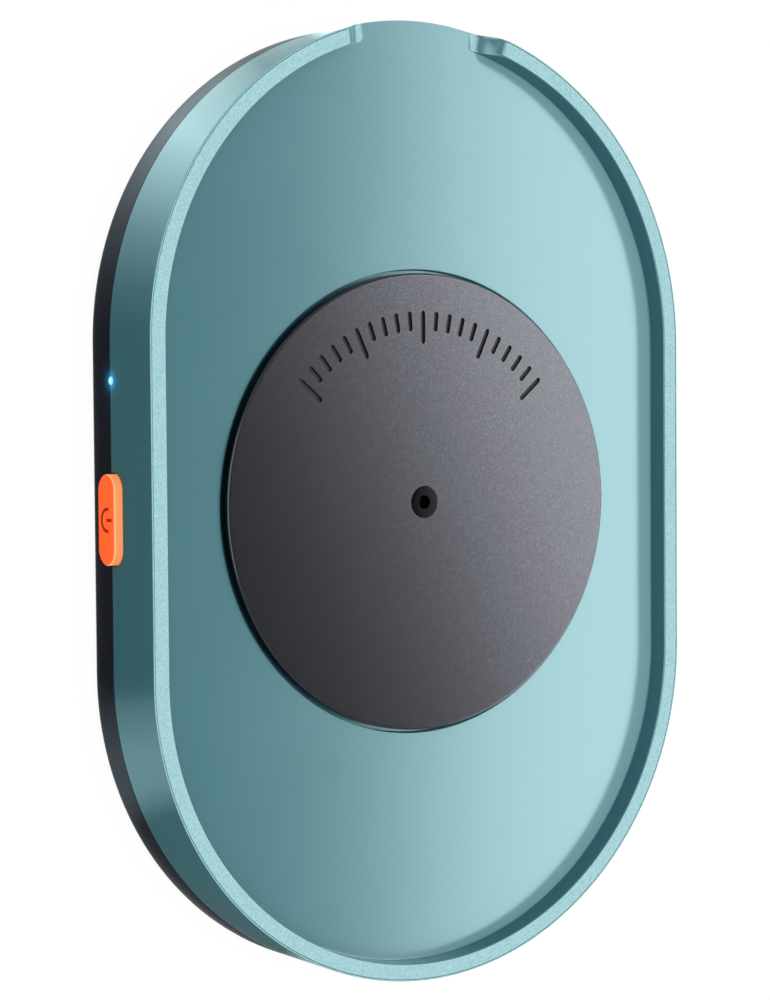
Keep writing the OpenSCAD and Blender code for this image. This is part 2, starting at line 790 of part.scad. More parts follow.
// ---- Circuit board and what it carries ----

module board_outline() {
    intersection() {
        outline(board_r);
        union() {
            translate([-case_r, -board_low_y]) square([case_r - board_inner_x, case_r + case_straight]);
            translate([-case_r, board_arm_y]) square([case_r + board_arm_x, case_r]);
        }
    }
}

module circuit_board() {
    color([0.08, 0.32, 0.2]) difference() {
        translate([0, 0, board_z]) linear_extrude(board_t) board_outline();
        for (at = board_screw_at) translate(at)
            ring(motor_screw_r + 0.1, board_t + 2 * past, board_z - past);
        at_corners(post_angle, post_reach) ring(post_r + 0.4, board_t + 2 * past, board_z - past);
    }
}

module board_screws() {
    color([0.6, 0.61, 0.63]) for (at = board_screw_at) translate([at[0], at[1], board_top_z])
        pan_screw(motor_screw_r, board_screw_l, motor_head_r, motor_head_t);
}

module driver_chip() {
    color([0.1, 0.1, 0.11]) translate([chip_at[0], chip_at[1], board_top_z]) {
        translate([-chip_body[0] / 2, -chip_body[1] / 2, 0.1]) cube(chip_body);
        for (side = [-1, 1], i = [0:3])
            translate([side * (chip_body[0] + chip_leg[0]) / 2, (i - 1.5) * chip_leg_pitch, 0])
                translate([-chip_leg[0] / 2, -chip_leg[1] / 2, 0]) cube(chip_leg);
    }
}

// Small soldered parts: two can capacitors, a coil and rows of chip resistors
module board_parts() {
    color([0.35, 0.3, 0.26]) {
        for (i = [0, 1]) translate([-can_x - i * can_pitch, can_y, 0])
            ring(can_r, can_h, board_top_z);
        translate([coil_x, can_y - coil_size[1] / 2, board_top_z]) cube(coil_size);
        for (i = [0:5]) translate([i * resistor_pitch - resistor_row_x, resistor_row_y, board_top_z])
            cube(resistor_size);
        for (i = [0:3])
            translate([-resistor_column_x, resistor_column_y + i * resistor_pitch, board_top_z])
                cube(resistor_size);
    }
}

// Steel shell of the power socket, closed at the back
module usb_shell() {
    color([0.78, 0.79, 0.8]) translate([0, usb_y, usb_z]) rotate([-90, 0, 0]) difference() {
        linear_extrude(usb_l) capsule(usb_w, usb_h);
        translate([0, 0, usb_back_t]) linear_extrude(usb_l)
            capsule(usb_w - 2 * usb_wall_t, usb_h - 2 * usb_wall_t);
    }
}

// Plastic tongue with its contacts inside the socket
module usb_tongue() {
    tongue_w = 6.6;
    tongue_t = 0.7;
    color([0.1, 0.1, 0.1]) translate([-tongue_w / 2, usb_y + usb_back_t, usb_z - tongue_t / 2])
        cube([tongue_w, usb_l - 2 * usb_back_t, tongue_t]);
}

module power_switch() {
    color([0.15, 0.15, 0.16]) difference() {
        translate([switch_x, -button_low_y - switch_l / 2, board_top_z])
            cube([switch_d, switch_l, switch_h]);
        translate([switch_x - past, -button_low_y, button_z]) rotate([0, 90, 0])
            cylinder(r = plunger_r + run_gap, h = past + 1.5);
    }
}

module switch_plunger() {
    color([0.9, 0.9, 0.88]) translate([stem_tip_x + run_gap, -button_low_y, button_z])
        rotate([0, 90, 0]) cylinder(r = plunger_r, h = plunger_l + 1);
}

// Button cap with its flange behind the wall and the stem that pushes the switch
module power_button() {
    flange_l = button_l + 2 * button_flange_margin;
    flange_w = button_w + 2 * button_flange_margin;
    color([0.95, 0.4, 0.12]) {
        hull() {
            wall_capsule(button_l - 2 * button_bevel, button_w - 2 * button_bevel,
                -case_r - button_proud, -case_r - button_proud + button_bevel, $fn = 32);
            wall_capsule(button_l, button_w,
                -case_r - button_proud + button_bevel, -inner_r + 0.3, $fn = 32);
        }
        wall_capsule(flange_l, flange_w, -inner_r + 0.05, button_inner_x);
        translate([button_inner_x - 0.2, -button_low_y, button_z]) rotate([0, 90, 0])
            cylinder(r = button_stem_r, h = stem_l + 0.2);
    }
}

module indicator_led() {
    color([0.2, 0.6, 1]) translate([led_x, light_y - led_size[1] / 2, board_top_z]) cube(led_size);
}

// Clear rod from the light to the outside of the wall
module light_pipe() {
    color([0.6, 0.85, 1]) translate([-case_r, light_y, light_z]) rotate([0, 90, 0])
        cylinder(r = light_r, h = case_r + led_x);
}

tray();
base_cover();
turntable_disc();
disc_screw();
spindle();
spindle_bush();
thrust_washer();
drive_gear();
retaining_clip();
idler_gear();
idler_pin();
motor_case();
motor_flange();
motor_coils();
rotor_magnet();
motor_shaft();
motor_pinion();
motor_screws();
motor_terminal();
motor_lead();
lead_plug();
lead_socket();
circuit_board();
driver_chip();
board_parts();
board_screws();
usb_shell();
usb_tongue();
power_switch();
switch_plunger();
power_button();
indicator_led();
light_pipe();
case_screws();
rubber_feet();
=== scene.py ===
import json
import math

import bmesh
import bpy
from mathutils import Matrix, Vector


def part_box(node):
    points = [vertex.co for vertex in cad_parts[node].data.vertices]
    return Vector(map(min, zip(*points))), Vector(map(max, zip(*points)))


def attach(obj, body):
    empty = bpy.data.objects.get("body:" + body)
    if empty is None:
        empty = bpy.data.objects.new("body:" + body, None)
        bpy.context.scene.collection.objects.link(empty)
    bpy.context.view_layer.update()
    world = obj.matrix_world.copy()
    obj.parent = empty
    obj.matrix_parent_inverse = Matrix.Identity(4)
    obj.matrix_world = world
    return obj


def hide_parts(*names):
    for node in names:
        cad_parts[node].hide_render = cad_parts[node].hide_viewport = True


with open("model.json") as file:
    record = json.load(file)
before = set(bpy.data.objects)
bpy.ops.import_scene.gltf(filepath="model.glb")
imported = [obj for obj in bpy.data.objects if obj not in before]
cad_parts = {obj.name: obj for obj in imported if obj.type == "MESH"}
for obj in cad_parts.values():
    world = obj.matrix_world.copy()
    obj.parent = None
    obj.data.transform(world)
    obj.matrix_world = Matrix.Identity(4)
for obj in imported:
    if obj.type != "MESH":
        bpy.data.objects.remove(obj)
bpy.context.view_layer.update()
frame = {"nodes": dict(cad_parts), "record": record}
print("CAD nodes:", len(frame["nodes"]))

# %% [markdown]
# ## The main sizes
#
# The CAD pieces give the driving sizes, so the finer meshes keep to them. The few that a box
# doesn't tell, such as the wall's thickness and the height of the seam, stand beside them. Shapes
# are worked out in millimetres, which are easy to read, and become metres where a mesh gets its
# points.
# %% Main sizes, in millimetres
MM = 0.001


def in_mm(corner):
    return [round(c / MM, 2) for c in corner]


CASE_R, HALF_LENGTH, RIM_Z = in_mm(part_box("tray")[1])
DISC_R, _, DISC_Z = in_mm(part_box("turntable_disc")[1])
BASE_Z = in_mm(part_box("base_cover")[0])[2]
BUTTON_OUT = -in_mm(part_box("power_button")[0])[0]
END_Y = HALF_LENGTH - CASE_R
WALL = 2.4
INNER_R = CASE_R - WALL
FLOOR_Z, SEAM_Z = 13.9, 6.3
MOTOR_Y = -29.5
print("case radius", CASE_R, "centre of an end", END_Y, "inner radius", INNER_R)
print("heights: base", BASE_Z, "seam", SEAM_Z, "floor", FLOOR_Z, "disc", DISC_Z, "rim", RIM_Z)
print("disc radius", DISC_R, "button's face at", BUTTON_OUT)

# %% [markdown]
# ## The camera
#
# The photograph was taken from the left and from above, with a long lens. Its place and turn were
# found by laying the outline of the case over the picture. It comes first, so that every later
# step can be looked at from the same place.
# %% Camera
camera_at = (-0.2064, 0.0163, 0.3078)
camera_turns = [("Y", -0.5990273), ("X", -0.0445768), ("Z", -0.0076663)]
camera_data = bpy.data.cameras.new("photo_camera")
camera_data.lens = 93.55
camera_data.sensor_width = 36
camera = bpy.data.objects.new("photo_camera", camera_data)
bpy.context.collection.objects.link(camera)
pose = Matrix.Translation(camera_at)
for axis, angle in camera_turns:
    pose = pose @ Matrix.Rotation(angle, 4, axis)
camera.matrix_world = pose
bpy.context.scene.camera = camera
print("camera at", camera_at)

# %% [markdown]
# ## Shader maths as plain expressions
#
# A material is a graph of nodes. Written link by link it is long and hard to read, so a small
# class wraps one socket: adding, multiplying or comparing two of them adds the Math node that
# does it. Everything that isn't plain maths comes from one method that names the node's type,
# its settings and what goes into its sockets.
# %% A socket that can be calculated with
class Value:
    def __init__(self, tree, socket):
        self.tree = tree
        self.socket = socket

    def maths(self, operation, *inputs):
        return add_node(self.tree, "ShaderNodeMath", {"operation": operation}, dict(enumerate(inputs)))

    def __getitem__(self, name):
        return Value(self.tree, self.socket.node.outputs[name])

    def __add__(self, other):
        return self.maths("ADD", self, other)

    def __sub__(self, other):
        return self.maths("SUBTRACT", self, other)

    def __rsub__(self, other):
        return self.maths("SUBTRACT", other, self)

    def __mul__(self, other):
        return self.maths("MULTIPLY", self, other)

    def __truediv__(self, other):
        return self.maths("DIVIDE", self, other)

    def __rtruediv__(self, other):
        return self.maths("DIVIDE", other, self)

    def __pow__(self, power):
        return self.maths("POWER", self, power)

    def __gt__(self, other):
        return self.maths("GREATER_THAN", self, other)

    def __lt__(self, other):
        return self.maths("LESS_THAN", self, other)

    def __mod__(self, other):
        return self.maths("MODULO", self, other)

    def __abs__(self):
        return self.maths("ABSOLUTE", self)

    def sine(self):
        return self.maths("SINE", self)

    def cosine(self):
        return self.maths("COSINE", self)

    def at_least(self, low):
        return self.maths("MAXIMUM", self, low)

    def at_most(self, high):
        return self.maths("MINIMUM", self, high)

    __radd__ = __add__
    __rmul__ = __mul__


def add_node(tree, kind, settings=None, inputs=None):
    node = tree.nodes.new(kind)
    for name, setting in (settings or {}).items():
        setattr(node, name, setting)
    for name, value in (inputs or {}).items():
        if isinstance(value, Value):
            tree.links.new(value.socket, node.inputs[name])
        else:
            node.inputs[name].default_value = value
    return Value(tree, next(s for s in node.outputs if s.enabled)) if node.outputs else node


# %% [markdown]
# ## A finish
#
# Paint, steel and plastic all use the same Principled shader with other numbers. What sets them
# apart at this size is fine: the grain of a sandblasted edge, the flakes in a metallic paint, the
# orange peel of sprayed colour. They could be painted into images, but a pattern that is worked
# out from the place on the object has no seams and stays sharp close up. So a finish starts with
# that place, in metres, and ends by joining its shader to the output.
# %% The class that builds one finish
class Finish:
    def __init__(self, name):
        self.material = bpy.data.materials.new(name)
        self.material.use_nodes = True
        self.tree = self.material.node_tree
        self.tree.nodes.clear()
        self.place = self.node("ShaderNodeTexCoord")["Object"]
        axes = self.node("ShaderNodeSeparateXYZ", {}, {0: self.place})
        self.x, self.y, self.z = axes["X"], axes["Y"], axes["Z"]
        self.facing = self.node("ShaderNodeSeparateXYZ", {}, {0: self.place["Normal"]})["Z"]

    def node(self, kind, settings=None, inputs=None):
        return add_node(self.tree, kind, settings, inputs)

    def noise(self, size, detail=2.0, place=None):
        inputs = {"Vector": place or self.place, "Scale": 1 / size, "Detail": detail}
        return self.node("ShaderNodeTexNoise", {}, inputs)

    def cells(self, size):
        return self.node("ShaderNodeTexVoronoi", {}, {"Vector": self.place, "Scale": 1 / size})

    def mixed(self, factor, first, second):
        return self.node("ShaderNodeMix", {"data_type": "RGBA"}, {0: factor, 6: first, 7: second})

    def wave(self, value, pitch):
        """0 to 1 and back once in every pitch."""
        return (value * (2 * math.pi / pitch)).sine() * 0.5 + 0.5

    def clamped(self, value, low, high):
        inputs = {"Value": value, "From Min": low, "From Max": high}
        return self.node("ShaderNodeMapRange", {"interpolation_type": "SMOOTHSTEP"}, inputs)

    def bump(self, height, depth):
        return self.node("ShaderNodeBump", {}, {"Height": height, "Distance": depth, "Strength": 1.0})

    def distance(self, point):
        inputs = {0: self.place, 1: point}
        return self.node("ShaderNodeVectorMath", {"operation": "DISTANCE"}, inputs)["Value"]

    def surface(self, **sockets):
        inputs = {name.replace("_", " "): value for name, value in sockets.items()}
        shader = self.node("ShaderNodeBsdfPrincipled", {}, inputs)
        self.node("ShaderNodeOutputMaterial", {}, {"Surface": shader})
        return self.material


def colour(r, g, b):
    """A colour as a screen shows it, 0 to 255, turned into the linear numbers that shaders take."""
    steps = [c / 255 for c in (r, g, b)]
    return (*[s / 12.92 if s <= 0.04045 else ((s + 0.055) / 1.055) ** 2.4 for s in steps], 1.0)


# %% [markdown]
# ## The glow round the light
#
# A small blue light shines through a window at the seam, and the shells round it take on a blue
# halo. A lamp that small would need many samples, so the halo is a faint emission in the tray's
# and the base's own finishes, which fades with the distance from the window.
# %% Glow round the window
LIGHT_Y, LIGHT_Z = 17.0, 6.45
WINDOW_AT = (-CASE_R * MM, LIGHT_Y * MM, LIGHT_Z * MM)
GLOW_REACH = 1.0 * MM


def glow(finish, strength):
    """Blue light on a surface, full at the window and nearly gone two millimetres away."""
    near = 1 / (1 + (finish.distance(WINDOW_AT) / GLOW_REACH) ** 4.0)
    return finish.mixed(near * strength, (0, 0, 0, 1), colour(40, 190, 255))


# %% [markdown]
# ## Teal paint
#
# The tray is cast metal, sprayed in a satin teal with a little metal in it. The flat rim is
# paler and has a sandblasted grain, because it was finished apart from the rest. Two materials on
# two groups of faces would need a cut along the edge. One material with a mask doesn't: the rim is
# what lies outside the inner wall, above the floor, and faces up. So the grain also runs a little
# way down each ramp of the cable gap and stops where it gets steep.
# %% Teal paint
def teal_paint():
    f = Finish("teal_paint")
    past_end = (abs(f.y) - END_Y * MM).at_least(0.0)
    reach = (f.x * f.x + past_end * past_end) ** 0.5
    on_rim = (reach > (INNER_R + 0.05) * MM) * (reach < (CASE_R - 0.05) * MM)
    on_top = on_rim * (f.z > (FLOOR_Z + 0.002) * MM)
    rim = on_top * f.clamped(f.facing, 0.78, 0.92)
    cloud = f.noise(18 * MM, 3.0)
    grain = f.noise(0.2 * MM, 3.0)
    peel = f.noise(0.9 * MM)
    paint = f.mixed(cloud, colour(81, 141, 151), colour(86, 146, 156))
    blasted = f.mixed(f.clamped(grain, 0.35, 0.65), colour(155, 216, 223), colour(190, 237, 243))
    height = rim * grain * 0.012 * MM + peel * 0.0006 * MM
    return f.surface(
        Base_Color=f.mixed(rim, paint, blasted),
        Metallic=0.2 * (1 - rim),
        Roughness=0.2 + 0.7 * rim + (cloud - 0.5) * 0.02,
        Specular_IOR_Level=1.0,
        Emission_Color=glow(f, 0.5),
        Emission_Strength=1.0,
        Normal=f.bump(height, 1.0),
    )


# %% [markdown]
# ## Dark moulded plastic
#
# The base is injection moulded in a dark blue-grey and has the even, very fine texture of an
# etched mould. Small differences in roughness keep a large dark surface from looking like paper.
# What it mirrors is weak and bluish, so the shell also gets a tint and a strength for that.
# %% Moulded plastics
def moulded(name, tint, roughness, grain, depth, light=0.0, **more):
    f = Finish(name)
    texture = f.noise(grain, 2.0)
    cloud = f.noise(9 * MM, 3.0)
    darker = tuple(c * 0.86 for c in tint[:3]) + (1.0,)
    if light:
        more.update(Emission_Color=glow(f, light), Emission_Strength=1.0)
    return f.surface(
        Base_Color=f.mixed(cloud, darker, tint),
        Roughness=roughness + (cloud - 0.5) * 0.08 + (texture - 0.5) * 0.06,
        Normal=f.bump(texture * depth, 1.0),
        **more,
    )


# %% [markdown]
# ## The disc's metallic paint
#
# The disc is dark grey with a fine sparkle. Each fleck is one cell of a Voronoi pattern, about an
# eighth of a millimetre across, with its own brightness and its own slight tilt. The engraved
# marks are darker inside: they are where the surface lies just below the disc's face.
# %% Disc paint
def disc_paint():
    f = Finish("disc_paint")
    flecks = f.node("ShaderNodeSeparateXYZ", {}, {0: f.cells(0.12 * MM)["Color"]})
    radius = (f.x * f.x + f.y * f.y) ** 0.5
    below_face = (f.z < (DISC_Z - 0.05) * MM) * (f.z > (DISC_Z - 0.5) * MM)
    cut = below_face * (radius > 18 * MM) * (radius < 29 * MM)
    spark = flecks["X"] ** 3.0
    grey = f.mixed(spark, colour(82, 83, 88), colour(98, 99, 105))
    return f.surface(
        Base_Color=f.mixed(cut, grey, colour(13, 14, 16)),
        Metallic=1 - cut,
        Roughness=0.2 + flecks["Y"] * 0.03 + cut * 0.3,
        Normal=f.bump(flecks["Z"] * 0.0006 * MM, 1.0),
    )


# %% [markdown]
# ## Metals inside the case
#
# Turned steel and brass keep fine rings from the tool, so their grain is stretched round the
# piece: the noise reads only the height and the distance to the axis of the shaft it lies on.
# %% Turned metals
def turned(name, tint, roughness, axis_y=0.0):
    f = Finish(name)
    reach = (f.x * f.x + (f.y - axis_y) * (f.y - axis_y)) ** 0.5
    rings = f.noise(0.12 * MM, 2.0, f.node("ShaderNodeCombineXYZ", {}, {0: reach, 2: f.z}))
    return f.surface(
        Base_Color=f.mixed(rings, tuple(c * 0.8 for c in tint[:3]) + (1.0,), tint),
        Metallic=1.0,
        Roughness=roughness + (rings - 0.5) * 0.12,
        Normal=f.bump(rings * 0.002 * MM, 1.0),
    )


# %% [markdown]
# ## Wound copper and the printed board
#
# A coil shows its turns as fine bands, one on top of the other: painted shade in the groove between
# two turns and a painted highlight on the crown of each. A circuit board shows copper tracks under
# green lacquer: the straight edges between cells, a little raised and a little paler.
# %% Copper and board
def wound_copper():
    f = Finish("wound_copper")
    # The colour follows the bump's wave: painted shade in the grooves between turns, a painted
    # highlight on each crown.
    turn = f.wave(f.z, 0.16 * MM)
    return f.surface(
        Base_Color=f.mixed(turn, colour(120, 56, 22), colour(214, 128, 70)),
        Metallic=0.9,
        Roughness=0.35,
        Normal=f.bump(turn * 0.03 * MM, 1.0),
    )


def board_lacquer():
    f = Finish("board_lacquer")
    settings = {"feature": "DISTANCE_TO_EDGE", "distance": "EUCLIDEAN"}
    tracks = f.node("ShaderNodeTexVoronoi", settings, {"Vector": f.place, "Scale": 1 / (2.4 * MM)})
    copper = 1 - f.clamped(tracks["Distance"], 0.05, 0.09)
    return f.surface(
        Base_Color=f.mixed(copper, colour(14, 74, 42), colour(36, 118, 66)),
        Roughness=0.34 + f.noise(3 * MM) * 0.1,
        Normal=f.bump(copper * 0.035 * MM, 1.0),
    )


# %% [markdown]
# ## The button, the blue light and rubber
#
# The button's orange is brighter than any light that falls on it could make it, so it gets a
# little emission of its own, which is painted light. Its side is painted paler than its face, as
# painted light, and the rounded edge between them paler still, as a painted highlight. The window
# is a clear rod that is lit from inside, so its face is nearly white in the middle and blue towards
# its edge. Rubber is matt with a fine bloom.
# %% Button, light and rubber
def button_orange():
    f = Finish("button_orange")
    # The paler side is painted light, and the paler band across the rounded edge, where the two tints
    # meet, is a painted highlight.
    side = f.clamped(f.x, (0.04 - BUTTON_OUT) * MM, (0.28 - BUTTON_OUT) * MM)
    tint = f.mixed(side, colour(252, 96, 36), colour(255, 148, 84))
    tint = f.mixed(side * (1 - side) * 2.4, tint, colour(255, 205, 170))
    texture = f.noise(0.25 * MM)
    return f.surface(
        Base_Color=tint,
        Roughness=0.34 + texture * 0.06,
        # The emission is painted light: it makes the button glow though it is no lamp.
        Emission_Color=tint,
        Emission_Strength=0.6,
        Normal=f.bump(texture * 0.003 * MM, 1.0),
    )


def lit_window():
    f = Finish("lit_window")
    middle = 1 - f.clamped(f.distance(WINDOW_AT), 0.15 * MM, 0.75 * MM)
    return f.surface(
        Base_Color=colour(120, 190, 220),
        Roughness=0.25 + middle * 0.05,
        Emission_Color=f.mixed(middle, colour(20, 150, 235), colour(190, 245, 255)),
        Emission_Strength=1.0,
    )


def rubber():
    f = Finish("foot_rubber")
    bloom = f.noise(0.5 * MM, 4.0)
    return f.surface(
        Base_Color=f.mixed(bloom, colour(24, 24, 26), colour(38, 38, 41)),
        Roughness=0.75 + bloom * 0.15,
        Normal=f.bump(bloom * 0.02 * MM, 1.0),
    )


# %% [markdown]
# ## One finish for each material slot
#
# The CAD record names a slot for every node. Giving every node's own mesh the finish of its slot
# means that nothing is left in a single flat colour, and that a piece which replaces a node can
# take its finish from the same table.
# %% Finishes by slot
finishes = {
    "teal_metal": teal_paint(),
    "dark_shell": moulded(
        "dark_shell", colour(38, 42, 50), 0.34, 0.22 * MM, 0.003 * MM, 0.35,
        Specular_Tint=(0.5, 0.5, 1, 1), Specular_IOR_Level=0.2,
    ),
    "disc_metal": disc_paint(),
    "black_steel": turned("black_steel", colour(24, 25, 27), 0.42),
    "steel": turned("steel", colour(196, 198, 202), 0.28),
    "brass": turned("brass", colour(206, 170, 98), 0.3, MOTOR_Y * MM),
    "white_plastic": moulded("white_plastic", colour(228, 226, 216), 0.45, 0.3 * MM, 0.004 * MM),
    "magnet": turned("magnet", colour(92, 92, 96), 0.5, MOTOR_Y * MM),
    "copper_wire": wound_copper(),
    "wire_cover": moulded("wire_cover", colour(186, 48, 40), 0.5, 0.4 * MM, 0.004 * MM),
    "board_green": board_lacquer(),
    "black_plastic": moulded("black_plastic", colour(34, 34, 36), 0.55, 0.2 * MM, 0.006 * MM),
    "part_brown": moulded("part_brown", colour(118, 96, 72), 0.5, 0.3 * MM, 0.004 * MM),
    "orange_plastic": button_orange(),
    "light_clear": lit_window(),
    "foot_rubber": rubber(),
}
slot_of = {part["node"]: part["material_slot"] for part in frame["record"]["subparts"]}
for name, node in frame["nodes"].items():
    node.data.materials.clear()
    node.data.materials.append(finishes[slot_of[name]])
print("finishes:", len(finishes))

# %% [markdown]
# ## A profile carried round a path
#
# The tray, the base, the button and the power socket all have one outline: a straight with two
# round ends. Each is made as a potter would, from a profile of radius and height that is carried
# round the outline. A path is a list of (centre along the long axis, angle of the wall). A
# profile point marked "end" keeps to that outline at its radius, and one marked "disc" goes round
# the middle in a circle instead, so that the round pocket grows out of the same net of faces.
# %% Paths and profiles
STRAIGHT_STEPS = 30


def oval_path(half_length, steps_of_top):
    """Once round an outline with two round ends, anticlockwise from the right."""
    along = [half_length * (1 - 2 * i / STRAIGHT_STEPS) for i in range(1, STRAIGHT_STEPS)]
    top = [(half_length, a) for a in steps_of_top]
    left = [(y, 180.0) for y in along]
    bottom = [(-half_length, 180.0 + a) for a in range(0, 181, 2)]
    right = [(-y, 0.0) for y in along]
    return top + left + bottom + right


def softened(corners, steps=5):
    """Rounds the corners of a profile. A corner is (kind, radius, height, rounding).

    One more point just past each end of a rounding keeps the faces beside it flat when shaded.
    """
    rows = []
    for i, (kind, r, h, rounding) in enumerate(corners):
        if rounding == 0:
            rows.append((kind, r, h))
            continue
        here = Vector((r, h))
        to_last = (Vector(corners[i - 1][1:3]) - here).normalized()
        to_next = (Vector(corners[(i + 1) % len(corners)][1:3]) - here).normalized()
        half = to_last.angle(to_next) / 2
        reach = rounding / math.tan(half)
        centre = here + (to_last + to_next).normalized() * rounding / math.sin(half)
        start, end = here + to_last * reach - centre, here + to_next * reach - centre
        support = rounding * 0.12
        rows.append((kind, *(here + to_last * (reach + support))))
        for k in range(steps + 1):
            arm = start.lerp(end, k / steps).normalized() * rounding
            rows.append((kind, *(centre + arm)))
        rows.append((kind, *(here + to_next * (reach + support))))
    return rows


def carried(name, path, rows, closed, place, inner):
    """A net of faces: each row of the profile goes once round the path.

    place turns (x, y, height) into a point in space. Rows marked "disc" run in a circle, and inner
    is the radius at which they leave the outline.
    """
    net = bmesh.new()
    rings = []
    for kind, r, h in rows:
        ring = []
        for centre, angle in path:
            a = math.radians(angle)
            if kind == "disc":
                a = math.atan2(centre + inner * math.sin(a), inner * math.cos(a))
                centre = 0.0
            ring.append(net.verts.new(place(r * math.cos(a), centre + r * math.sin(a), h)))
        rings.append(ring)
    pairs = list(zip(rings, rings[1:])) + ([(rings[-1], rings[0])] if closed else [])
    for low, high in pairs:
        for i in range(len(path)):
            k = (i + 1) % len(path)
            net.faces.new((low[i], low[k], high[k], high[i]))
    return net_to_object(name, net)


def net_to_object(name, net):
    bmesh.ops.remove_doubles(net, verts=net.verts, dist=0.0008 * MM)
    bmesh.ops.dissolve_degenerate(net, edges=net.edges, dist=0.0004 * MM)
    bmesh.ops.recalc_face_normals(net, faces=net.faces)
    mesh = bpy.data.meshes.new(name)
    net.to_mesh(mesh)
    net.free()
    piece = bpy.data.objects.new(name, mesh)
    bpy.context.collection.objects.link(piece)
    return piece


# %% [markdown]
# ## Helpers that finish a piece
#
# Openings are cut with the Boolean modifier's exact solver, as a mill would cut them, and the
# cutter is thrown away. After that the whole piece is shaded smooth, except where two faces meet
# at more than thirty degrees. Last, the piece is given its finish and tied to the body that it
# moves with, and the CAD nodes that it stands in for, if any, are hidden.
# %% Cut, join, shade and hand over
def applied(piece):
    view = bpy.context.evaluated_depsgraph_get()
    mesh = bpy.data.meshes.new_from_object(piece.evaluated_get(view))
    piece.modifiers.clear()
    old, piece.data = piece.data, mesh
    bpy.data.meshes.remove(old)
    return piece


def cut(piece, *cutters):
    for cutter in cutters:
        knife = piece.modifiers.new("cut", "BOOLEAN")
        knife.operation = "DIFFERENCE"
        knife.solver = "EXACT"
        knife.object = cutter
        applied(piece)
        bpy.data.objects.remove(cutter)


def joined(piece, *others):
    net = bmesh.new()
    for part in (piece, *others):
        net.from_mesh(part.data)
    net.to_mesh(piece.data)
    net.free()
    for part in others:
        bpy.data.objects.remove(part)


def hand_over(piece, finish, body, *nodes):
    piece.data.materials.clear()
    piece.data.materials.append(finishes[finish])
    piece.data.polygons.foreach_set("material_index", [0] * len(piece.data.polygons))
    piece.data.shade_smooth()
    piece.data.set_sharp_from_angle(angle=math.radians(30))
    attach(piece, body)
    if nodes:
        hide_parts(*nodes)
    print(piece.name, len(piece.data.polygons), "faces")


# %% [markdown]
# ## Cutters for the side openings
#
# Three holes go through the wall: one shaped like the button, a small round one for the light,
# and the power socket's in the end under the cable gap. All three cross the seam, so both
# shells are cut with the same shapes.
# %% Simple solids, in millimetres
BUTTON_Y, BUTTON_Z, BUTTON_HALF, BUTTON_R = -1.2, 6.9, 3.8, 2.2
SOCKET_Z, SOCKET_HALF, SOCKET_R = 7.0, 2.87, 1.6
WINDOW_R = 0.58


def upright(x, y, h):
    return Vector((x, y, h)) * MM


def lying_left(x, y, h):
    """Height runs towards -X, the outline's long axis along Y."""
    return Vector((-h, BUTTON_Y + y, BUTTON_Z + x)) * MM


def lying_back(x, y, h):
    """Height runs towards +Y, the outline's long axis along X."""
    return Vector((y, h, SOCKET_Z + x)) * MM


def oval_solid(name, half, r, low, high, place):
    path = oval_path(half, range(0, 181, 4))
    rows = [("end", 0, low), ("end", r, low), ("end", r, high), ("end", 0, high)]
    return carried(name, path, rows, False, place, r)


def round_solid(name, rows, centre=(0, 0, 0), turn=None, sides=64):
    """A turned piece: rows of (radius, height) about an axis through centre."""
    path = [(0.0, 360 * i / sides) for i in range(sides)]
    move = Matrix.Translation(Vector(centre) * MM) @ (turn or Matrix.Identity(4))
    lathe = [("end", r, h) for r, h in rows]
    return carried(name, path, lathe, False, lambda x, y, h: move @ (Vector((x, y, h)) * MM), 1.0)


TO_THE_LEFT = Matrix.Rotation(math.radians(-90), 4, "Y")


def side_cutters():
    inside, outside = CASE_R - 5, CASE_R + 2
    hole_r = WINDOW_R + 0.04
    hole = [(0, inside), (hole_r, inside), (hole_r, outside), (0, outside)]
    return [
        oval_solid("button_hole", BUTTON_HALF, BUTTON_R + 0.2, inside, outside, lying_left),
        round_solid("light_hole", hole, (0, LIGHT_Y, LIGHT_Z), TO_THE_LEFT),
        oval_solid(
            "socket_hole", SOCKET_HALF, SOCKET_R + 0.3, END_Y + inside, END_Y + outside, lying_back
        ),
    ]


# %% [markdown]
# ## The tray
#
# The tray is the upper shell: wall, flat rim, sunken floor, and a round pocket for the disc. At
# the +Y end the rim dips to the floor in two S-shaped ramps, so that a mouse's cable can lie
# flat. The dip isn't cut. Every row above the floor is lowered by one factor that depends only on
# the place along X, so the rounded edges run down the ramps as they do on the real part.
# %% The tray's net of faces
BORE_R, BUSH_R, HUB_ROOM_R, BOSS_R = 3.5, 4.4, 5.4, 5.6
BOSS_Z, BUSH_Z, HUB_ROOM_Z, POCKET_Z = 9.2, 11.2, 11.8, 12.8
UNDER_POCKET_Z, UNDER_FLOOR_Z = 11.4, 11.9
POCKET_R = DISC_R + 0.5
UNDER_POCKET_R = POCKET_R + 2
GROOVE_R, GROOVE = CASE_R - 0.24, 0.06
in_the_pocket = [
    ("disc", BORE_R, BOSS_Z, 0), ("disc", BORE_R, BUSH_Z, 0), ("disc", BUSH_R, BUSH_Z, 0),
    ("disc", BUSH_R, HUB_ROOM_Z, 0), ("disc", HUB_ROOM_R, HUB_ROOM_Z, 0),
    ("disc", HUB_ROOM_R, POCKET_Z, 0.1), ("disc", POCKET_R, POCKET_Z, 0.1),
    ("disc", POCKET_R, FLOOR_Z, 0.12),
]
over_the_rim = [
    ("end", INNER_R, FLOOR_Z, 0.12), ("end", INNER_R, RIM_Z, 0.28),
    ("end", GROOVE_R - GROOVE, RIM_Z, 0), ("end", GROOVE_R, RIM_Z - GROOVE, 0),
    ("end", GROOVE_R + GROOVE, RIM_Z, 0), ("end", CASE_R, RIM_Z, 0.1),
]
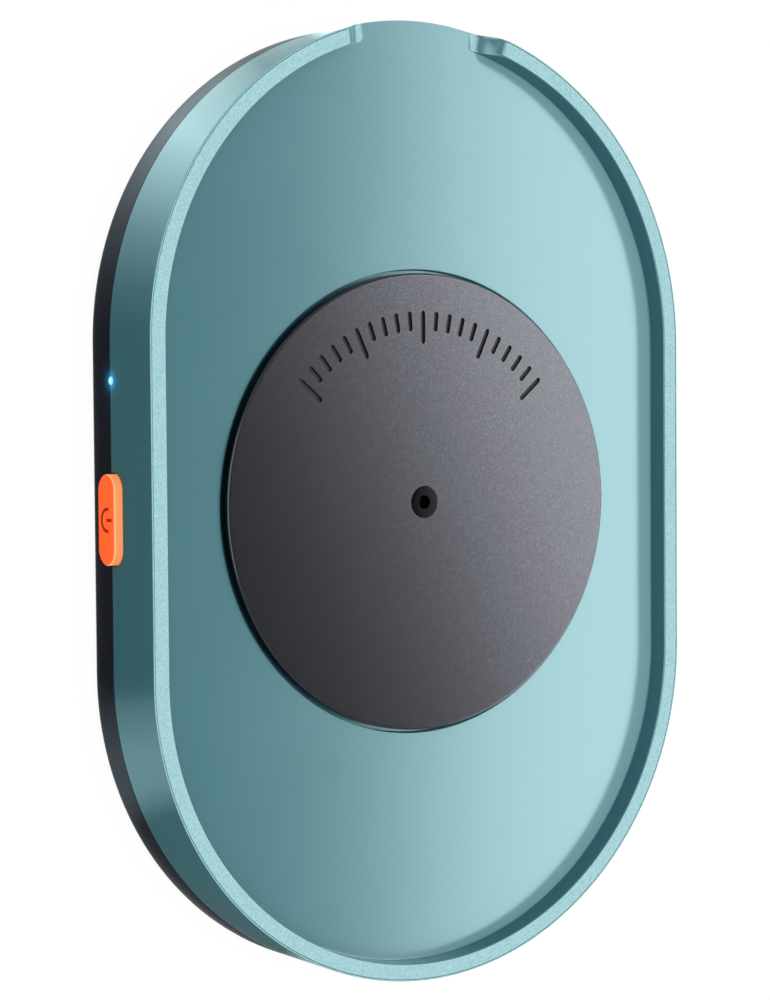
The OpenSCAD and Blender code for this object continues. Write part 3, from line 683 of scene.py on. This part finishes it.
underneath = [
    ("end", CASE_R, SEAM_Z, 0.1), ("end", INNER_R, SEAM_Z, 0), ("end", INNER_R, UNDER_FLOOR_Z, 0),
    ("disc", UNDER_POCKET_R, UNDER_FLOOR_Z, 0), ("disc", UNDER_POCKET_R, UNDER_POCKET_Z, 0),
    ("disc", BOSS_R, UNDER_POCKET_Z, 0), ("disc", BOSS_R, BOSS_Z, 0),
]
tray_corners = in_the_pocket + over_the_rim + underneath
print("corners of the tray's profile:", len(tray_corners))

# %% The tray
near_gap = [65 + i / 2 for i in range(0, 101)]
case_path = oval_path(END_Y, [*range(0, 65, 2), *near_gap, *range(116, 181, 2)])
GAP_HALF, RAMP_L = 9.3, 4.4


def rim_height(x):
    """Share of the rim's height that is left at x millimetres from the middle of the gap."""
    t = min(max((abs(x) - GAP_HALF) / RAMP_L, 0.0), 1.0)
    return (1 - math.cos(math.pi * t)) / 2


def tray_place(x, y, h):
    if y > END_Y and h > FLOOR_Z:
        h = FLOOR_Z + (h - FLOOR_Z) * rim_height(x)
    return Vector((x, y, h)) * MM


tray = carried("tray_shell", case_path, softened(tray_corners), True, tray_place, INNER_R)
cut(tray, *side_cutters())

# %% [markdown]
# ## Repeating a piece with Geometry Nodes
#
# Screws, feet and posts come in fours, at the corners of a rectangle. Four copies placed by hand
# would do, but a node tree keeps the pattern in one place: it makes the four points with a Mesh
# Grid, puts the piece on each and turns the copies into real faces. The result becomes one plain
# mesh, because copies don't survive the export.
# %% Corner pattern
def new_tree(name, sockets):
    tree = bpy.data.node_groups.new(name, "GeometryNodeTree")
    for title, kind in sockets:
        tree.interface.new_socket(title, in_out="INPUT", socket_type=kind)
    tree.interface.new_socket("Pieces", in_out="OUTPUT", socket_type="NodeSocketGeometry")
    return tree, add_node(tree, "NodeGroupInput")


def finish_tree(tree, points, given, rotation=None, scale=None):
    source = add_node(tree, "GeometryNodeObjectInfo", {}, {"Object": given["Piece"]})["Geometry"]
    inputs = {"Points": points, "Instance": source}
    if rotation:
        inputs["Rotation"] = rotation
    if scale:
        inputs["Scale"] = scale
    copies = add_node(tree, "GeometryNodeInstanceOnPoints", {}, inputs)
    real = add_node(tree, "GeometryNodeRealizeInstances", {}, {"Geometry": copies})
    inputs = {"Geometry": real, "Material": given["Finish"]}
    painted = add_node(tree, "GeometryNodeSetMaterial", {}, inputs)
    add_node(tree, "NodeGroupOutput", {}, {"Pieces": painted})


def corner_tree():
    tree, given = new_tree("corner_pattern", [
        ("Piece", "NodeSocketObject"), ("Finish", "NodeSocketMaterial"),
        ("Width", "NodeSocketFloat"), ("Length", "NodeSocketFloat"),
    ])
    sizes = {"Size X": given["Width"], "Size Y": given["Length"], "Vertices X": 2, "Vertices Y": 2}
    grid = add_node(tree, "GeometryNodeMeshGrid", {}, sizes)["Mesh"]
    finish_tree(tree, grid, given)
    return tree


def grown(name, tree, piece, finish, **sizes):
    """Runs a tree on a new object, keeps the result as a plain mesh and removes the pattern piece."""
    result = bpy.data.objects.new(name, bpy.data.meshes.new(name))
    bpy.context.collection.objects.link(result)
    modifier = result.modifiers.new(name, "NODES")
    modifier.node_group = tree
    values = {"Piece": piece, "Finish": finishes[finish], **sizes}
    for item in tree.interface.items_tree:
        if item.in_out == "INPUT":
            modifier[item.identifier] = values[item.name]
    applied(result)
    bpy.data.objects.remove(piece)
    return result


corners = corner_tree()
screw_grid = {"Width": 45.0 * MM, "Length": 97.62 * MM}
foot_grid = {"Width": 61.2 * MM, "Length": 68.72 * MM}
print("case screws", screw_grid, "feet", foot_grid)

# %% [markdown]
# ## Posts under the tray, and the tray handed over
#
# Four posts take the case screws. They are closed rings of their own that reach a tenth of a
# millimetre into the floor, so that no gap shows between the two.
# %% Tray posts
POST_R, POST_BORE, POSTS_MEET_Z = 3.2, 1.3, 5.4


def sleeve(bore, outside, low, high):
    """A closed ring, for a hollow post or a seat."""
    return [(bore, low), (outside, low), (outside, high), (bore, high), (bore, low)]


post = round_solid("post", sleeve(POST_BORE, POST_R, POSTS_MEET_Z, UNDER_FLOOR_Z + 0.1))
joined(tray, grown("tray_posts", corners, post, "teal_metal", **screw_grid))
hand_over(tray, "teal_metal", "case", "tray")

# %% [markdown]
# ## The base
#
# The base is a shallow dish with a rounded lower edge and a lip that goes up inside the tray. It
# is carried round the tray's own path, so the two walls meet corner for corner at the seam.
# Recesses for the feet and counterbores for the screws are cut from below.
# %% Base shell
BASE_IN_Z = 2.8
LIP_R, LIP_IN_R, LIP_Z = INNER_R - 0.1, 40.3, 7.5
FOOT_R, FOOT_TOP_Z = 5.0, 1.6
HEAD_R, BORE_FOR_HEAD = 2.2, 2.4


def rod(radius, low, high):
    """A plain cylinder from its axis outwards, for a drill."""
    return [(0, low), (radius, low), (radius, high), (0, high)]


base_corners = [
    ("end", 0.0, BASE_Z, 0), ("end", CASE_R, BASE_Z, 1.0), ("end", CASE_R, SEAM_Z, 0.1),
    ("end", LIP_R, SEAM_Z, 0), ("end", LIP_R, LIP_Z, 0.15), ("end", LIP_IN_R, LIP_Z, 0.15),
    ("end", LIP_IN_R, BASE_IN_Z, 0.3), ("end", 0.0, BASE_IN_Z, 0),
]
base = carried("base_shell", case_path, softened(base_corners), False, upright, INNER_R)
foot_recess = round_solid("foot_recess", rod(FOOT_R + 0.05, -1, FOOT_TOP_Z))
counterbore = round_solid("counterbore", rod(BORE_FOR_HEAD, -1, 3.4))
cut(
    base,
    grown("foot_recesses", corners, foot_recess, "dark_shell", **foot_grid),
    grown("counterbores", corners, counterbore, "dark_shell", **screw_grid),
    *side_cutters(),
)

# %% [markdown]
# ## Posts, ribs and seats inside the base
#
# The posts for the screws are closed rings here too. The seat round the motor, the boss under
# the spindle, the pillars of the circuit board and the stiffening ribs follow the CAD model. Each
# starts a tenth of a millimetre below the base's inner face, so that it stands in it without a gap.
# %% Inside of the base
ROOT_Z, HOLE_Z, RIB_Z = BASE_IN_Z - 0.1, 3.0, 4.2
SCREW_HOLE_R = 1.05
EAR_X = 10
pillars = [(-21, 2), (-30, 30), (8, 36)]


def cup(hole, outside, hole_floor, top):
    """A post with a blind hole from above."""
    wall = [(outside, ROOT_Z), (outside, top), (hole, top), (hole, hole_floor)]
    return [(0, ROOT_Z), *wall, (0, hole_floor)]


def bar(name, low, high):
    net = bmesh.new()
    bmesh.ops.create_cube(net, size=1.0)
    for vert in net.verts:
        middle = [(low[i] + high[i]) / 2 + vert.co[i] * (high[i] - low[i]) for i in range(3)]
        vert.co = Vector(middle) * MM
    return net_to_object(name, net)


base_post = round_solid("base_post", [
    (BORE_FOR_HEAD, 2.75), (POST_R, 2.75), (POST_R, POSTS_MEET_Z), (POST_BORE, POSTS_MEET_Z),
    (POST_BORE, HOLE_Z), (BORE_FOR_HEAD, HOLE_Z), (BORE_FOR_HEAD, 2.75),
])
inside = [grown("base_posts", corners, base_post, "dark_shell", **screw_grid)]
inside.append(round_solid("spindle_seat", cup(1.54, 3.9, HOLE_Z, 6.4)))
inside.append(round_solid("motor_seat", sleeve(7.6, 8.7, ROOT_Z, 4.3), (0, MOTOR_Y, 0)))
for x in (-EAR_X, EAR_X):
    inside.append(round_solid("ear_post", cup(SCREW_HOLE_R, 2.4, 4.0, 8.0), (x, MOTOR_Y, 0)))
for x, y in pillars:
    inside.append(round_solid("pillar", cup(SCREW_HOLE_R, 2.2, HOLE_Z, 4.4), (x, y, 0)))
for y in range(-36, 37, 12):
    past_end = abs(y) + 1 - END_Y if abs(y) > END_Y else 0.0
    reach = math.sqrt(LIP_IN_R**2 - past_end**2)
    inside.append(bar("rib", (17, y, ROOT_Z), (reach, y + 1, RIB_Z)))
inside.append(bar("long_rib", (25, -50, ROOT_Z), (26, 50, RIB_Z)))
print("pieces inside the base:", len(inside))
joined(base, *inside)
hand_over(base, "dark_shell", "case", "base_cover")

# %% [markdown]
# ## The disc
#
# A turned plate with a hub, a countersunk hole and a rounded edge. Its face carries a row of
# engraved marks on an arc, as on a plain scale. Bump in the paint could draw them, but the mesh
# would stay blank, so they are real cuts: a node tree puts a small round-ended bar on each point
# of an arc, every fifth one longer, and the Boolean takes them out.
# %% The turned disc
PLATE_Z = DISC_Z - 2.0
HUB_R, HUB_Z = 5.0, 12.09
SCREW_R, SCREW_SEAT_R, SCREW_SEAT_Z = 1.25, 2.25, 14.12
disc_corners = [
    ("disc", SCREW_R, HUB_Z, 0), ("disc", HUB_R, HUB_Z, 0.1), ("disc", HUB_R, PLATE_Z, 0),
    ("disc", DISC_R, PLATE_Z, 0.15), ("disc", DISC_R, DISC_Z, 0.3),
    ("disc", SCREW_SEAT_R, DISC_Z, 0.05), ("disc", SCREW_R, SCREW_SEAT_Z, 0),
]
DISC_SIDES = 256
turn_path = [(0.0, 360 * i / DISC_SIDES) for i in range(DISC_SIDES)]
disc = carried("disc_plate", turn_path, softened(disc_corners), True, upright, 1.0)
print("points on the disc:", len(disc.data.vertices))

# %% Marks on an arc
MARK_HALF, MARK_FLARE, MARK_DEPTH = 0.34, 0.02, 0.25
MARK_STRAIGHT_HALF, MARK_INWARDS = 1.0, 1.25


def arc_tree():
    tree, given = new_tree("marks_on_an_arc", [
        ("Piece", "NodeSocketObject"), ("Finish", "NodeSocketMaterial"), ("Count", "NodeSocketInt"),
        ("Radius", "NodeSocketFloat"), ("Start", "NodeSocketFloat"), ("Sweep", "NodeSocketFloat"),
        ("Long every", "NodeSocketInt"), ("Long by", "NodeSocketFloat"),
    ])
    index = add_node(tree, "GeometryNodeInputIndex")
    share = index / (given["Count"] - 1)
    angle = given["Start"] + share * given["Sweep"]
    radius = given["Radius"]
    place = {0: radius * angle.cosine(), 1: radius * angle.sine()}
    at = add_node(tree, "ShaderNodeCombineXYZ", {}, place)
    points = add_node(tree, "GeometryNodePoints", {}, {"Count": given["Count"], "Position": at})
    is_long = index % given["Long every"] < 0.5
    stretch = {0: 1 + is_long * (given["Long by"] - 1), 1: 1.0, 2: 1.0}
    size = add_node(tree, "ShaderNodeCombineXYZ", {}, stretch)
    turn = add_node(tree, "ShaderNodeCombineXYZ", {}, {2: angle})
    finish_tree(tree, points, given, turn, size)
    return tree


def inwards(x, y, h):
    return Vector((y - MARK_INWARDS, x, h)) * MM


def mark_bar():
    """A round-ended bar along X. Its outer end lies on the arc, so a longer one grows inwards."""
    low, high = DISC_Z - MARK_DEPTH, DISC_Z + 0.2
    wide = MARK_HALF + MARK_FLARE
    rows = [("end", 0, low), ("end", MARK_HALF, low), ("end", wide, high), ("end", 0, high)]
    path = oval_path(MARK_STRAIGHT_HALF, range(0, 181, 12))
    return carried("mark_bar", path, rows, False, inwards, 1.0)


marks = grown(
    "marks", arc_tree(), mark_bar(), "disc_metal", Count=21, Radius=26.2 * MM,
    Start=math.radians(140), Sweep=math.radians(-100), **{"Long every": 5, "Long by": 1.7},
)
cut(disc, marks)
hand_over(disc, "disc_metal", "turntable", "turntable_disc")

# %% [markdown]
# ## The screw in the middle
#
# A countersunk screw with a hexagonal socket. The thread is hidden in the hub, so the shank is
# plain. The head is turned with a small round at its edge, and the socket is cut with a six-sided
# prism whose floor is a shallow cone, as a drill leaves it.
# %% Disc screw
screw_rows = [
    (0, 9.1), (SCREW_R - 0.15, 9.1), (SCREW_R, 9.3), (SCREW_R, 14.15),
    (2.14, 15.0), (2.18, 15.05), (2.1, 15.08), (0, 15.08),
]
screw = round_solid("centre_screw", screw_rows, sides=96)
HEX_R, HEX_Z = 1.05, 14.2
hex_rows = [(0, HEX_Z - 0.25), (HEX_R, HEX_Z), (HEX_R, 16), (0, 16)]
cut(screw, round_solid("hex_socket", hex_rows, sides=6))
hand_over(screw, "black_steel", "turntable", "disc_screw")

# %% [markdown]
# ## The button
#
# The button is a capsule of orange plastic with a softly rounded edge. Behind the wall it has a
# flange that keeps it in, and a stem that reaches the switch. A Bevel modifier could round it, but
# a profile that holds the rounding keeps its faces even all the way round. Reflections don't see
# the button, because its own light would draw an orange smear on the shells beside it.
# %% Button
STEM_R, STEM_END = 1.2, 39.65
BUTTON_FLANGE_R, FLANGE_IN, FLANGE_OUT = 3.1, 40.75, 41.55
button_corners = [
    ("end", 0, STEM_END, 0), ("disc", STEM_R, STEM_END, 0), ("disc", STEM_R, FLANGE_IN, 0),
    ("end", BUTTON_FLANGE_R, FLANGE_IN, 0.1), ("end", BUTTON_FLANGE_R, FLANGE_OUT, 0.1),
    ("end", BUTTON_R, FLANGE_OUT, 0), ("end", BUTTON_R, BUTTON_OUT, 0.32),
    ("end", 0, BUTTON_OUT + 0.03, 0),
]
button_path = oval_path(BUTTON_HALF, range(0, 181, 4))
button_rows = softened(button_corners)
button = carried("button_cap", button_path, button_rows, False, lying_left, BUTTON_R)
hand_over(button, "orange_plastic", "button", "power_button")
button.visible_glossy = False

# %% [markdown]
# ## The sign on the button
#
# The standby sign is printed: a broken ring and a bar that stand a few hundredths of a millimetre
# out of the face. A real thin strip needs no picture and keeps its edge at any distance.
# %% Standby sign
def band(name, spine, half_width, low, high, place):
    """A flat strip along a line of points, as thick as low to high."""
    net = bmesh.new()
    rows = []
    for i, point in enumerate(spine):
        ahead = (spine[min(i + 1, len(spine) - 1)] - spine[max(i - 1, 0)]).normalized()
        side = Vector((-ahead.y, ahead.x)) * half_width
        corners = [(point + side, low), (point - side, low), (point - side, high), (point + side, high)]
        rows.append([net.verts.new(place(p.x, p.y, h)) for p, h in corners])
    for a, b in zip(rows, rows[1:]):
        for i in range(4):
            net.faces.new((a[i], a[(i + 1) % 4], b[(i + 1) % 4], b[i]))
    net.faces.new(rows[0])
    net.faces.new(rows[-1])
    return net_to_object(name, net)


SIGN_R, STROKE_HALF, PRINT_OUT = 1.45, 0.21, 0.05
sign_at = Vector((0.4, 0))
sign_ring = []
for degrees in range(74, 287, 6):
    a = math.radians(degrees)
    sign_ring.append(sign_at + SIGN_R * Vector((math.cos(a), math.sin(a))))
sign_bar = [Vector((0.25 + i * 0.26, 0.0)) for i in range(6)]
print_depth = (BUTTON_OUT - 0.02, BUTTON_OUT + PRINT_OUT)
standby = band("standby_sign", sign_ring, STROKE_HALF, *print_depth, lying_left)
joined(standby, band("sign_bar", sign_bar, STROKE_HALF, *print_depth, lying_left))
# The ink glows with a little emission of its own, as the button does: painted light.
ink = colour(150, 24, 4)
finishes["sign_ink"] = moulded(
    "sign_ink", ink, 0.5, 0.2 * MM, 0.002 * MM, Emission_Color=ink, Emission_Strength=0.6
)
standby.data.materials.append(finishes["sign_ink"])
standby.visible_glossy = False
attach(standby, "button")
print(standby.name, len(standby.data.polygons), "faces")

# %% [markdown]
# ## The light's window
#
# The window is the domed end of a clear rod. It stands a tenth of a millimetre out of its hole,
# which is what makes it catch the eye from the side. Half a ball would bulge too far, so the dome
# is a short flat curve turned round the rod's axis.
# %% Light window
dome = [(0, 38.9), (WINDOW_R, 38.9)]
for r, out in [(WINDOW_R, -0.05), (0.5, 0.03), (0.34, 0.09), (0.17, 0.12), (0, 0.13)]:
    dome.append((r, CASE_R + out))
window = round_solid("light_window", dome, (0, LIGHT_Y, LIGHT_Z), TO_THE_LEFT)
hand_over(window, "light_clear", "case", "light_pipe")

# %% [markdown]
# ## The power socket
#
# A drawn steel shell with a rolled mouth, and the tongue inside it with a row of gilt contacts.
# Shell and tongue are long shapes with two round ends, like the case, so they are made in the same
# way. The contacts repeat, so a node tree lays them out in a line.
# %% Socket shell and tongue
SOCKET_BACK, SOCKET_FLOOR, MOUTH = 57.9, 58.9, 65.3
SHEET = 0.3
shell_corners = [
    ("end", 0, SOCKET_BACK, 0), ("end", SOCKET_R, SOCKET_BACK, 0.2), ("end", SOCKET_R, MOUTH, 0.12),
    ("end", SOCKET_R - SHEET, MOUTH, 0.1), ("end", SOCKET_R - SHEET, SOCKET_FLOOR, 0),
    ("end", 0, SOCKET_FLOOR, 0),
]
shell_path = oval_path(SOCKET_HALF, range(0, 181, 6))
shell_rows = softened(shell_corners)
shell = carried("socket_shell", shell_path, shell_rows, False, lying_back, SOCKET_R)
hand_over(shell, "steel", "case", "usb_shell")

TONGUE_HALF, TONGUE_R, TONGUE_TIP = 2.95, 0.35, 64.3
tongue_corners = [
    ("end", 0, SOCKET_FLOOR, 0), ("end", TONGUE_R, SOCKET_FLOOR, 0),
    ("end", TONGUE_R, TONGUE_TIP, 0.12), ("end", 0, TONGUE_TIP, 0),
]
tongue_path = oval_path(TONGUE_HALF, range(0, 181, 15))
tongue_rows = softened(tongue_corners)
tongue = carried("socket_tongue", tongue_path, tongue_rows, False, lying_back, TONGUE_R)
hand_over(tongue, "black_plastic", "case", "usb_tongue")

# %% Contacts
def line_tree():
    tree, given = new_tree("contacts_in_a_line", [
        ("Piece", "NodeSocketObject"), ("Finish", "NodeSocketMaterial"), ("Count", "NodeSocketInt"),
        ("Pitch", "NodeSocketFloat"),
    ])
    first = given["Pitch"] * (given["Count"] - 1) * -0.5
    start = add_node(tree, "ShaderNodeCombineXYZ", {}, {0: first})
    step = add_node(tree, "ShaderNodeCombineXYZ", {}, {0: given["Pitch"]})
    inputs = {"Count": given["Count"], "Start Location": start, "Offset": step}
    finish_tree(tree, add_node(tree, "GeometryNodeMeshLine", {}, inputs), given)
    return tree


def contact_bar(name, low, high):
    """A flat strip on the tongue, low to high millimetres above the socket's middle."""
    return bar(name, (-0.13, 59.4, SOCKET_Z + low), (0.13, 63.9, SOCKET_Z + high))


contact = contact_bar("contact", 0.33, 0.39)
joined(contact, contact_bar("lower_contact", -0.39, -0.33))
contacts = grown("socket_contacts", line_tree(), contact, "brass", Count=12, Pitch=0.5 * MM)
hand_over(contacts, "brass", "case")

# %% [markdown]
# ## Feet and case screws
#
# Each foot is a rubber disc with a hollow and a groove in its underside, which leave two rings to
# grip the table. The case screws have pan heads with a cross slot, sunk in their counterbores.
# One of each is made, and the corner pattern makes the other three.
# %% Feet
grip_rings = [(0, 0.12), (1.5, 0.12), (1.7, 0), (2.6, 0), (2.75, 0.3), (3.15, 0.3), (3.3, 0)]
foot_edge = [(4.7, 0), (4.92, 0.1), (FOOT_R, 0.3), (FOOT_R, FOOT_TOP_Z), (0, FOOT_TOP_Z)]
foot_rows = grip_rings + foot_edge
feet = grown("feet", corners, round_solid("foot", foot_rows, sides=96), "foot_rubber", **foot_grid)
hand_over(feet, "foot_rubber", "case", "rubber_feet")

# %% Case screws
SHANK_R, SCREW_TIP_Z = 1.25, 10.0
SLOT_HALF_L, SLOT_HALF_W, SLOT_Z = 1.25, 0.24, 2.4
pan_head = [(0, 1.7), (1.5, 1.72), (1.95, 1.95), (2.15, 2.3), (HEAD_R, HOLE_Z)]
shank = [(SHANK_R, HOLE_Z), (SHANK_R, SCREW_TIP_Z - 0.2), (1.0, SCREW_TIP_Z), (0, SCREW_TIP_Z)]
case_screw = round_solid("case_screw", pan_head + shank)
for x, y in [(SLOT_HALF_L, SLOT_HALF_W), (SLOT_HALF_W, SLOT_HALF_L)]:
    cut(case_screw, bar("slot", (-x, -y, 1), (x, y, SLOT_Z)))
screws = grown("case_screw_set", corners, case_screw, "black_steel", **screw_grid)
hand_over(screws, "black_steel", "case", "case_screws")

# %% [markdown]
# ## The floor
#
# The object stands on a plain pale floor, a single face whose edges lie far outside the picture.
# To the lights it is ordinary pale paint. To the camera, and in reflections, it is mostly an even
# white, and the small share of paint that is left keeps a faint shadow under the case.
# %% Floor
FLOOR_HALF = 3.0
PALE, WHITE_STRENGTH, WHITE_SHARE = 0.85, 1.1, 0.85
floor_net = bmesh.new()
bmesh.ops.create_grid(floor_net, x_segments=1, y_segments=1, size=FLOOR_HALF)
floor = net_to_object("pale_floor", floor_net)
f = Finish("pale_floor")
rays = f.node("ShaderNodeLightPath")
seen = rays["Is Camera Ray"] + rays["Is Glossy Ray"] + rays["Is Transmission Ray"]
pale = f.node("ShaderNodeBsdfDiffuse", {}, {"Color": (PALE, PALE, PALE, 1)})
white = f.node("ShaderNodeEmission", {}, {"Color": (1, 1, 1, 1), "Strength": WHITE_STRENGTH})
share = seen.at_most(1.0) * WHITE_SHARE
surface = f.node("ShaderNodeMixShader", {}, {0: share, 1: pale, 2: white})
f.node("ShaderNodeOutputMaterial", {}, {"Surface": surface})
floor.data.materials.append(f.material)
print("floor:", 2 * FLOOR_HALF, "m square")

# %% [markdown]
# ## The sky
#
# A photographer lights colour and gloss apart. The colour comes from a sky that is the same all
# round. Reflections see another sky, a little brighter, with a dark patch above and towards +X,
# as if a black card hung there. The flat paint mirrors the card where it should stay deep in
# colour, and the card's soft edge is part of the slow change from dark to light across it.
# %% The sky and its dark card
SKY, MIRRORED_SKY, CARD_DARK = 0.38, 0.45, 0.04
card_tilt, card_edge, card_core = math.radians(30), math.radians(38), math.radians(18)
world = bpy.data.worlds.new("studio")
bpy.context.scene.world = world
world.use_nodes = True
studio = world.node_tree
sky = studio.nodes["Background"]
sky.inputs["Color"].default_value = (1, 1, 1, 1)
toward = add_node(studio, "ShaderNodeTexCoord")["Generated"]
card_at = (math.sin(card_tilt), 0, math.cos(card_tilt))
inputs = {0: toward, 1: card_at}
beside = add_node(studio, "ShaderNodeVectorMath", {"operation": "DOT_PRODUCT"}, inputs)["Value"]
edges = {"Value": beside, "From Min": math.cos(card_edge), "From Max": math.cos(card_core)}
card = add_node(studio, "ShaderNodeMapRange", {"interpolation_type": "SMOOTHSTEP"}, edges)
mirrored = add_node(studio, "ShaderNodeLightPath")["Is Glossy Ray"]
strength = SKY + mirrored * ((MIRRORED_SKY - SKY) - (MIRRORED_SKY - CARD_DARK) * card)
studio.links.new(strength.socket, sky.inputs["Strength"])
print("sky", SKY, "in reflections", MIRRORED_SKY, "down to", CARD_DARK)

# %% [markdown]
# ## Soft lights
#
# One wide light overhead adds to the colour, and reflections don't see it. The others are panels
# that only reflections see. The key stands towards +X, and a second panel in its place shines
# through the tray's wall, so that the floor just behind the wall isn't cut off from all of it. A
# dimmer panel goes on from there to just below the horizon, where paint mirrors more, so that
# less light is enough. The disc has a key of its own, turned by twenty degrees, so its gradient
# runs at a slant. The front panel stands low on the button's side and draws the bright line along
# the rounded edges that face it.
#
# An area light's power is spread over its size, so each is given as a radiance, which is how
# bright the panel looks, and the power is worked out from it.
# %% Lights
PANEL_AWAY = 0.7


def soft_light(name, tilt, width, length, radiance, away=PANEL_AWAY, roll=0.0, shift=0.0):
    """A rectangular light that faces the object from tilt degrees off the vertical, towards +X."""
    lamp = bpy.data.lights.new(name, "AREA")
    lamp.shape = "RECTANGLE"
    lamp.size, lamp.size_y = width, length
    lamp.energy = radiance * math.pi * width * length
    light = bpy.data.objects.new(name, lamp)
    bpy.context.collection.objects.link(light)
    light.matrix_world = (
        Matrix.Rotation(math.radians(tilt), 4, "Y")
        @ Matrix.Translation((0, 0, away))
        @ Matrix.Rotation(math.radians(roll), 4, "Z")
        @ Matrix.Translation((shift, 0, 0))
    )
    return light


key_place = {"tilt": 52, "width": 0.284, "length": 0.9, "shift": -0.081}
overhead = soft_light("overhead", tilt=0, width=1.2, length=1.2, radiance=0.85)
overhead.visible_glossy = False
key = soft_light("key", radiance=3.2, **key_place)
key_through = soft_light("key_through", radiance=1.5, **key_place)
low_key = soft_light("low_key", tilt=52, width=0.546, length=1.4, radiance=1.5, shift=0.334)
disc_key = soft_light(
    "disc_key", tilt=55, width=0.252, length=0.8, radiance=4.0, roll=20, shift=-0.102
)
front = soft_light("front", tilt=-71, width=0.36, length=0.6, radiance=2.2, away=0.6)
glossy_lights = (key, key_through, low_key, disc_key, front)
for light in (overhead, *glossy_lights):
    light.visible_camera = False
for light in glossy_lights:
    light.visible_diffuse = False
for light in (key, key_through):
    light.data.color = (1.0, 0.98, 0.94)
print("panels in reflections:", [light.name for light in glossy_lights])

# %% [markdown]
# ## Which light reaches which piece
#
# Light linking gives a light a group of objects that it lights or leaves out, and shadow linking
# does the same for what blocks it. The disc is left out by both keys and lit by its own, and the
# tray doesn't block the panel that shines through its wall.
# %% Light linking
def linked(title, piece, state):
    """A group that names one piece, which a light includes or excludes."""
    group = bpy.data.collections.new(title)
    group.objects.link(piece)
    group.collection_objects[0].light_linking.link_state = state
    return group


for light in (key, key_through):
    light.light_linking.receiver_collection = linked(light.name + "_lights", disc, "EXCLUDE")
disc_key.light_linking.receiver_collection = linked("disc_key_lights", disc, "INCLUDE")
key_through.light_linking.blocker_collection = linked("key_through_blockers", tray, "EXCLUDE")
bpy.context.scene.view_settings.view_transform = "Standard"

# %% [markdown]
# ## A glowing band on the floor
#
# The side walls mirror what lies close to the case. A band round it, seen only in reflections, is
# bright where the wall should shine and black where it should stay deep in colour. Each corner of
# its mesh carries its own brightness, so one band makes every soft change from light to dark. Its
# light leans towards the paint's colour, so that the shine doesn't turn grey.
# %% Brightness round the case
band_stops = [
    (0, 0.3), (60, 0.8), (80, 2.6), (93, 3.2), (102, 0.8), (114, 0.75), (125, 1.7), (136, 2.5),
    (147, 1.75), (158, 0.8), (169, 0.2), (178, 0.0), (183, 0.0), (187, 0.4), (196, 0.8), (203, 0.75),
    (210, 0.08), (238, 0.12), (250, 0.12), (262, 1.1), (270, 1.4), (285, 0.9), (320, 0.4), (360, 0.3),
]


def band_light(angle):
    """Brightness at an angle of the outline, in degrees, between the stops on either side."""
    for (a, low), (b, high) in zip(band_stops, band_stops[1:]):
        if a <= angle <= b:
            return low + (high - low) * (angle - a) / (b - a)


brightness = [band_light(a % 360) for _, a in case_path]
print("band's brightness:", min(brightness), "to", max(brightness))

# %% Reflected band
BAND_Z = 0.2
BAND_TINT = (0.78, 1, 1, 1)
band_rows = [("end", CASE_R + out, BAND_Z) for out in (0.6, 8, 18, 30)]
mirror_band = carried("mirror_band", case_path, band_rows, False, upright, CASE_R)
levels = mirror_band.data.attributes.new("level", "FLOAT", "POINT")
levels.data.foreach_set("value", brightness * len(band_rows))
f = Finish("mirror_band")
level = f.node("ShaderNodeAttribute", {"attribute_name": "level"})["Fac"]
lit = f.node("ShaderNodeEmission", {}, {"Color": BAND_TINT, "Strength": level})
f.node("ShaderNodeOutputMaterial", {}, {"Surface": lit})
mirror_band.data.materials.append(f.material)
mirror_band.visible_camera = mirror_band.visible_diffuse = mirror_band.visible_shadow = False
print("band:", len(mirror_band.data.polygons), "faces")
